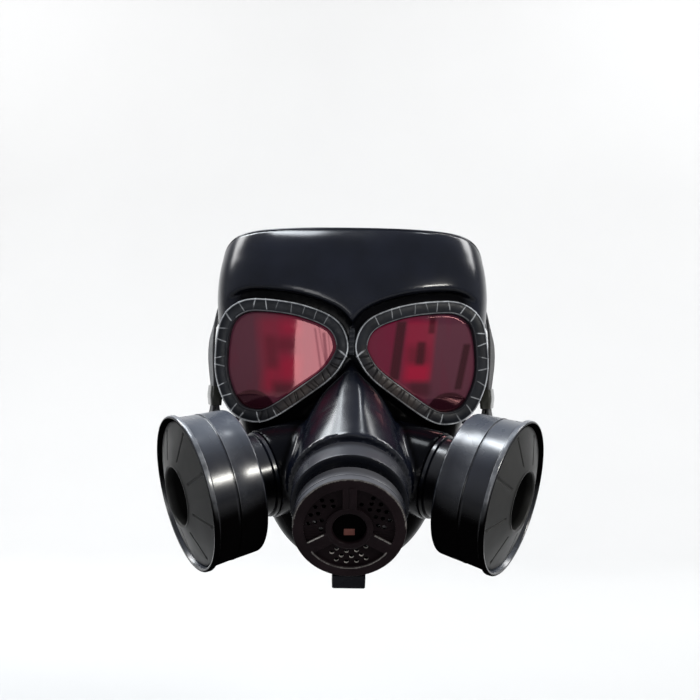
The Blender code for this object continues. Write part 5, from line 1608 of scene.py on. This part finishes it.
@dataclass(frozen=True)
class Strap:
    """The elastic head strap, through a slider and a moulded ear on each side and round the back of the head."""

    finish: Webbing
    slider_finish: MouldedPlastic
    width: float = 20.0 * MM
    thickness: float = 1.8 * MM
    lean: float = math.radians(12)
    spacing: float = 2.6 * MM
    bar: tuple = (94.0 * MM, 27.0 * MM, -48.0 * MM)
    bar_size: float = 2.4 * MM
    root: float = 24.0 * MM
    slot: float = 7.0 * MM
    slider_height: float = 13.5 * MM
    slider_rise: float = 15.5 * MM
    slider_wall: float = 1.8 * MM
    slider_play: float = 0.4 * MM
    tail: float = 27.0 * MM
    turn_play: float = 1.6 * MM
    route: tuple = (
        (97.2, 31, -2), (96, 42, 18), (90, 64, 34), (82, 92, 44), (70, 128, 50), (46, 165, 53),
        (18, 186, 54), (0, 190, 54),
    )
    head_centre: tuple = (0.0, 95 * MM, 0.0)
    fine: int = 4

    def facing(self, side: Side) -> tuple:
        """At a strap ear: the direction out of the strap's face, and the direction of its width."""
        outward = np.array([side.value * math.cos(self.lean), -math.sin(self.lean), 0.0])
        along = np.array([side.value * math.sin(self.lean), math.cos(self.lean), 0.0])
        return outward, along

    def _half_line(self) -> tuple:
        """The right half of the strap's middle line, from its tail to the back, and its face directions."""
        outward, _ = self.facing(Side.RIGHT)
        bar = np.array(self.bar)
        line, faces = [], []
        for height in (self.tail, self.slider_rise + self.slider_height / 2,
                       self.slider_rise - self.slider_height / 2):
            line.append(bar - self.spacing / 2 * outward + height * UP)
            faces.append(-outward)
        for step in range(7):
            turn = math.pi * step / 6
            way = -math.cos(turn) * outward - math.sin(turn) * UP
            line.append(bar + (self.spacing / 2 + self.turn_play) * way)
            faces.append(way)
        for height in (self.slider_rise - self.slider_height / 2, self.slider_rise + self.slider_height / 2):
            line.append(bar + self.spacing / 2 * outward + height * UP)
            faces.append(outward)
        route = np.array(self.route) * MM
        keys = np.vstack([line[-2:], route, route[-2:-1] * [-1, 1, 1]])
        for i in range(1, len(keys) - 2):
            a, b, c, d = keys[i - 1 : i + 3]
            for t in (1 / 3, 2 / 3, 1.0):
                point = 0.5 * (2 * b + (c - a) * t + (2 * a - 5 * b + 4 * c - d) * t**2
                               + (3 * b - a - 3 * c + d) * t**3)
                share = min(1.0, (i - 1 + t) / 3)
                away = (point - np.array(self.head_centre)) * [1.6, 1, 0]
                line.append(point)
                faces.append(share * unit(away) + (1 - share) * outward)
        return np.array(line), np.array(faces)

    def band(self) -> bpy.types.Object:
        """The strap as one long band with rounded edges."""
        line, outs = self._half_line()
        mirror = np.array([-1, 1, 1])
        line = np.vstack([line, line[-2::-1] * mirror])
        outs = np.vstack([outs, outs[-2::-1] * mirror])
        line = curve_points(line, self.fine, closed=False)
        outs = curve_points(outs, self.fine, closed=False)
        tangents = np.gradient(line, axis=0)
        half, thick, soft = self.width / 2, self.thickness / 2, 0.5 * MM
        section = [(-half + soft, -thick), (half - soft, -thick), (half, -thick + soft),
                   (half, thick - soft),
                   (half - soft, thick), (-half + soft, thick), (-half, thick - soft),
                   (-half, -thick + soft)]
        rings = []
        for point, tangent, out in zip(line, tangents, outs):
            tangent = unit(tangent)
            out = unit(out - (out @ tangent) * tangent)
            width = np.cross(tangent, out)
            rings.append([point + a * width + b * out for a, b in section])
        count = len(section)
        faces = grid_faces(len(rings), count, False, True).tolist()
        faces.append(list(range(count)))
        faces.append(list(range((len(rings) - 1) * count, len(rings) * count)))
        item = add_mesh("head_strap_webbing", np.vstack(rings), faces, self.finish.build())
        along = np.concatenate([[0], np.cumsum(np.linalg.norm(np.diff(line, axis=0), axis=1))])
        layer = item.data.uv_layers.new(name="weave")
        for loop in item.data.loops:
            level, corner = divmod(loop.vertex_index, count)
            layer.data[loop.index].uv = (section[corner][0], along[level])
        return settle(item, ["head_strap"])

    def slider(self, side: Side) -> bpy.types.Object:
        """The rounded, slotted block that holds the strap's two layers together."""
        outward, along = self.facing(side)
        middle = side.place(np.array(self.bar)) + self.slider_rise * UP
        window = np.array([(self.spacing + self.thickness) / 2 + self.slider_play,
                           self.width / 2 + self.slider_play])
        wall = self.slider_wall
        rings = []
        outer_steps = 12
        for angle in np.linspace(-90, 90, outer_steps + 1):
            grow = wall * math.cos(math.radians(angle)) ** 0.6 if abs(angle) < 90 else 0.0
            rise = (self.slider_height / 2 - wall) * np.sign(angle) * (abs(angle) > 45)
            height = rise + wall * math.sin(math.radians(angle)) if abs(angle) > 45 else self.slider_height / 2 * angle / 90
            rings.append(self._slider_ring(middle, outward, along, window + max(grow, 0.25 * MM), height))
        rings.append(self._slider_ring(middle, outward, along, window, self.slider_height / 2))
        rings.append(self._slider_ring(middle, outward, along, window, -self.slider_height / 2))
        faces = grid_faces(len(rings), len(rings[0]), True, True)
        item = add_mesh(f"strap_slider_{side.label}_block", np.vstack(rings), faces,
                        self.slider_finish.build())
        return settle(item, [f"strap_slider_{side.label}"])

    def _slider_ring(self, middle: np.ndarray, outward: np.ndarray, along: np.ndarray, reach: np.ndarray,
                     height: float) -> np.ndarray:
        """One level of the slider: a rounded rectangle round the strap."""
        turns = np.linspace(0, 2 * math.pi, 64, endpoint=False)
        a = np.sign(np.cos(turns)) * np.abs(np.cos(turns)) ** 0.35
        b = np.sign(np.sin(turns)) * np.abs(np.sin(turns)) ** 0.35
        return middle + (a * reach[0])[:, None] * outward + (b * reach[1])[:, None] * along + height * UP

    def build(self) -> list:
        """The band and both sliders."""
        return [self.band(), self.slider(Side.LEFT), self.slider(Side.RIGHT)]


@dataclass(frozen=True)
class Studio:
    """The photograph's camera, a pale floor that rises behind the mask, and soft lights."""

    camera_place: tuple = (-1.1 * MM, -877 * MM, 0.0)
    roll: float = math.radians(0.8)
    focal_pixels: float = 1307.7
    image_width: float = 700
    sensor: float = 36.0
    floor_height: float = -0.30
    floor_half: float = 3.0
    floor_front: float = -1.3
    wall_place: float = 1.6
    wall_height: float = 3.2
    bend: float = 0.6

    def camera(self) -> bpy.types.Object:
        """The camera at the photograph's place, level and turned a little about its own axis."""
        data = bpy.data.cameras.new("photo_camera")
        data.sensor_width = self.sensor
        data.lens = self.sensor * self.focal_pixels / self.image_width
        item = bpy.data.objects.new("photo_camera", data)
        bpy.context.scene.collection.objects.link(item)
        ahead = Vector((0, 1, 0)).to_track_quat("-Z", "Y").to_matrix().to_4x4()
        item.matrix_world = Matrix.Translation(self.camera_place) @ ahead @ Matrix.Rotation(self.roll, 4,
                                                                                            "Z")
        bpy.context.scene.camera = item
        return item

    def floor(self) -> bpy.types.Object:
        """The floor and wall as one sheet with a round bend."""
        line = [(self.floor_front, self.floor_height)]
        for angle in np.radians(np.linspace(0, 90, 25)):
            line.append((self.wall_place - self.bend + self.bend * math.sin(angle),
                         self.floor_height + self.bend - self.bend * math.cos(angle)))
        line.append((self.wall_place, self.wall_height))
        points = [(x, y, z) for y, z in line for x in (-self.floor_half, self.floor_half)]
        bench = Bench("studio_paper")
        bench.link(bench.blend(bench.noise(3.0), (0.50, 0.50, 0.50), (0.53, 0.53, 0.53)),
                   bench.shader.inputs["Base Color"])
        bench.set(Roughness=0.9)
        item = add_mesh("studio_floor", np.array(points), grid_faces(len(line), 2, False, False),
                        bench.material)
        item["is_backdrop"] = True
        return item

    def light(self, name: str, place: Sequence[float], aim: Sequence[float], size: tuple, watts: float,
              colour: tuple = (1.0, 1.0, 1.0)) -> bpy.types.Object:
        """A soft rectangular light.

        Args:
            name: Its name.
            place: Where it stands.
            aim: The point that it faces.
            size: Its width and height.
            watts: Its power.
            colour: Its colour.

        Returns:
            The light.
        """
        data = bpy.data.lights.new(name, "AREA")
        data.shape = "RECTANGLE"
        data.size, data.size_y = size
        data.energy = watts
        data.color = colour
        item = bpy.data.objects.new(name, data)
        bpy.context.scene.collection.objects.link(item)
        item.location = place
        item.rotation_euler = (Vector(aim) - Vector(place)).to_track_quat("-Z", "Y").to_euler()
        return item

    def build(self) -> None:
        """Set up the camera, floor, lights and a dim even surround."""
        self.camera()
        self.floor()
        world = bpy.data.worlds.new("surround")
        bpy.context.scene.world = world
        world.use_nodes = True
        world.node_tree.nodes["Background"].inputs["Color"].default_value = (0.94, 0.96, 1.0, 1.0)
        world.node_tree.nodes["Background"].inputs["Strength"].default_value = 0.32
        bpy.context.scene.view_settings.view_transform = "Standard"
        centre = (0.0, -0.05, -0.04)
        self.light("overhead", (-0.27, 0.06, 1.16), centre, (0.24, 0.34), 5.5, (0.90, 0.95, 1.0))
        self.light("overhead_right", (0.30, 0.27, 1.10), centre, (0.06, 0.08), 0.5, (0.90, 0.95, 1.0))
        self.light("high_left", (-0.50, 0.47, 0.95), centre, (0.34, 0.72), 8.8, (0.90, 0.96, 1.0))
        self.light("front_right", (0.80, -0.84, 0.40), centre, (0.44, 0.11), 7.5, (1.0, 0.98, 0.92))
        self.light("window", (-0.52, -1.54, 0.0), (-0.05, -0.04, 0.0), (0.40, 0.9), 5.5)
        self.light("backdrop_left", (-1.0, 0.5, 0.9), (-0.4, 1.6, 0.1), (0.8, 0.8), 20.0)
        self.light("backdrop_right", (1.0, 0.5, 0.9), (0.4, 1.6, 0.1), (0.8, 0.8), 20.0)


def corners(bounds: tuple) -> list:
    """A box's two corners as plain numbers."""
    return [[float(value) for value in corner] for corner in bounds]


def main() -> None:
    """Build every piece and fasten it to the frame, measuring the size before and after."""
    logging.basicConfig(level=logging.INFO, format="%(name)s: %(message)s")
    cad_box = corners(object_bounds())
    Studio().build()
    form, outline = Form(), LensOutline()
    black = MouldedPlastic("shell_black")
    drum = Drum(
        # The drum's pale lines are painted highlights, and its top gets a painted sheen.
        MouldedPlastic("drum_black", wear_and_highlight=(0.22, 0.23, 0.25), roughness=(0.19, 0.26), shine=0.95,
                       satin=(0.19, 0.22, 0.28)),
        MouldedPlastic("cover_grey", (0.016, 0.016, 0.0155), (0.027, 0.027, 0.026), (0.09, 0.09, 0.088),
                       (0.38, 0.48), shine=0.35),
    )
    slider_finish = MouldedPlastic("slider_olive", (0.020, 0.021, 0.017), (0.038, 0.039, 0.032),
                                   (0.1, 0.1, 0.09))
    strap = Strap(Webbing(), slider_finish)
    FaceShell(black, form, outline).build(drum, strap)
    for side in Side:
        # Each lens's areas of painted light and shade.
        painted_light_and_shade = RIGHT_PAINTED_LIGHT_AND_SHADE if side is Side.RIGHT else LEFT_PAINTED_LIGHT_AND_SHADE
        streaks = RIGHT_STREAKS if side is Side.RIGHT else LEFT_STREAKS
        tint = TintedLens(f"lens_red_{side.label}", side, painted_light_and_shade=painted_light_and_shade, streaks=streaks)
        Goggle(side, outline, RimRubber(f"rim_rubber_{side.label}"), tint).build()
    BridgeStrip(RimRubber("bridge_rubber")).build()
    ValveCover(MouldedPlastic("valve_black", (0.0052, 0.0030, 0.0038), (0.0092, 0.0055, 0.0068),
                              # The valve cover's pale colour is for its painted glints and painted highlight lines.
                              roughness=(0.28, 0.36), shine=0.04, wear_and_highlight=(0.75, 0.72, 0.68)),
               form).build()
    drum.build()
    strap.build()
    {"cad": cad_box, "visual": corners(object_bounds())}


if __name__ == "__main__":
    main()
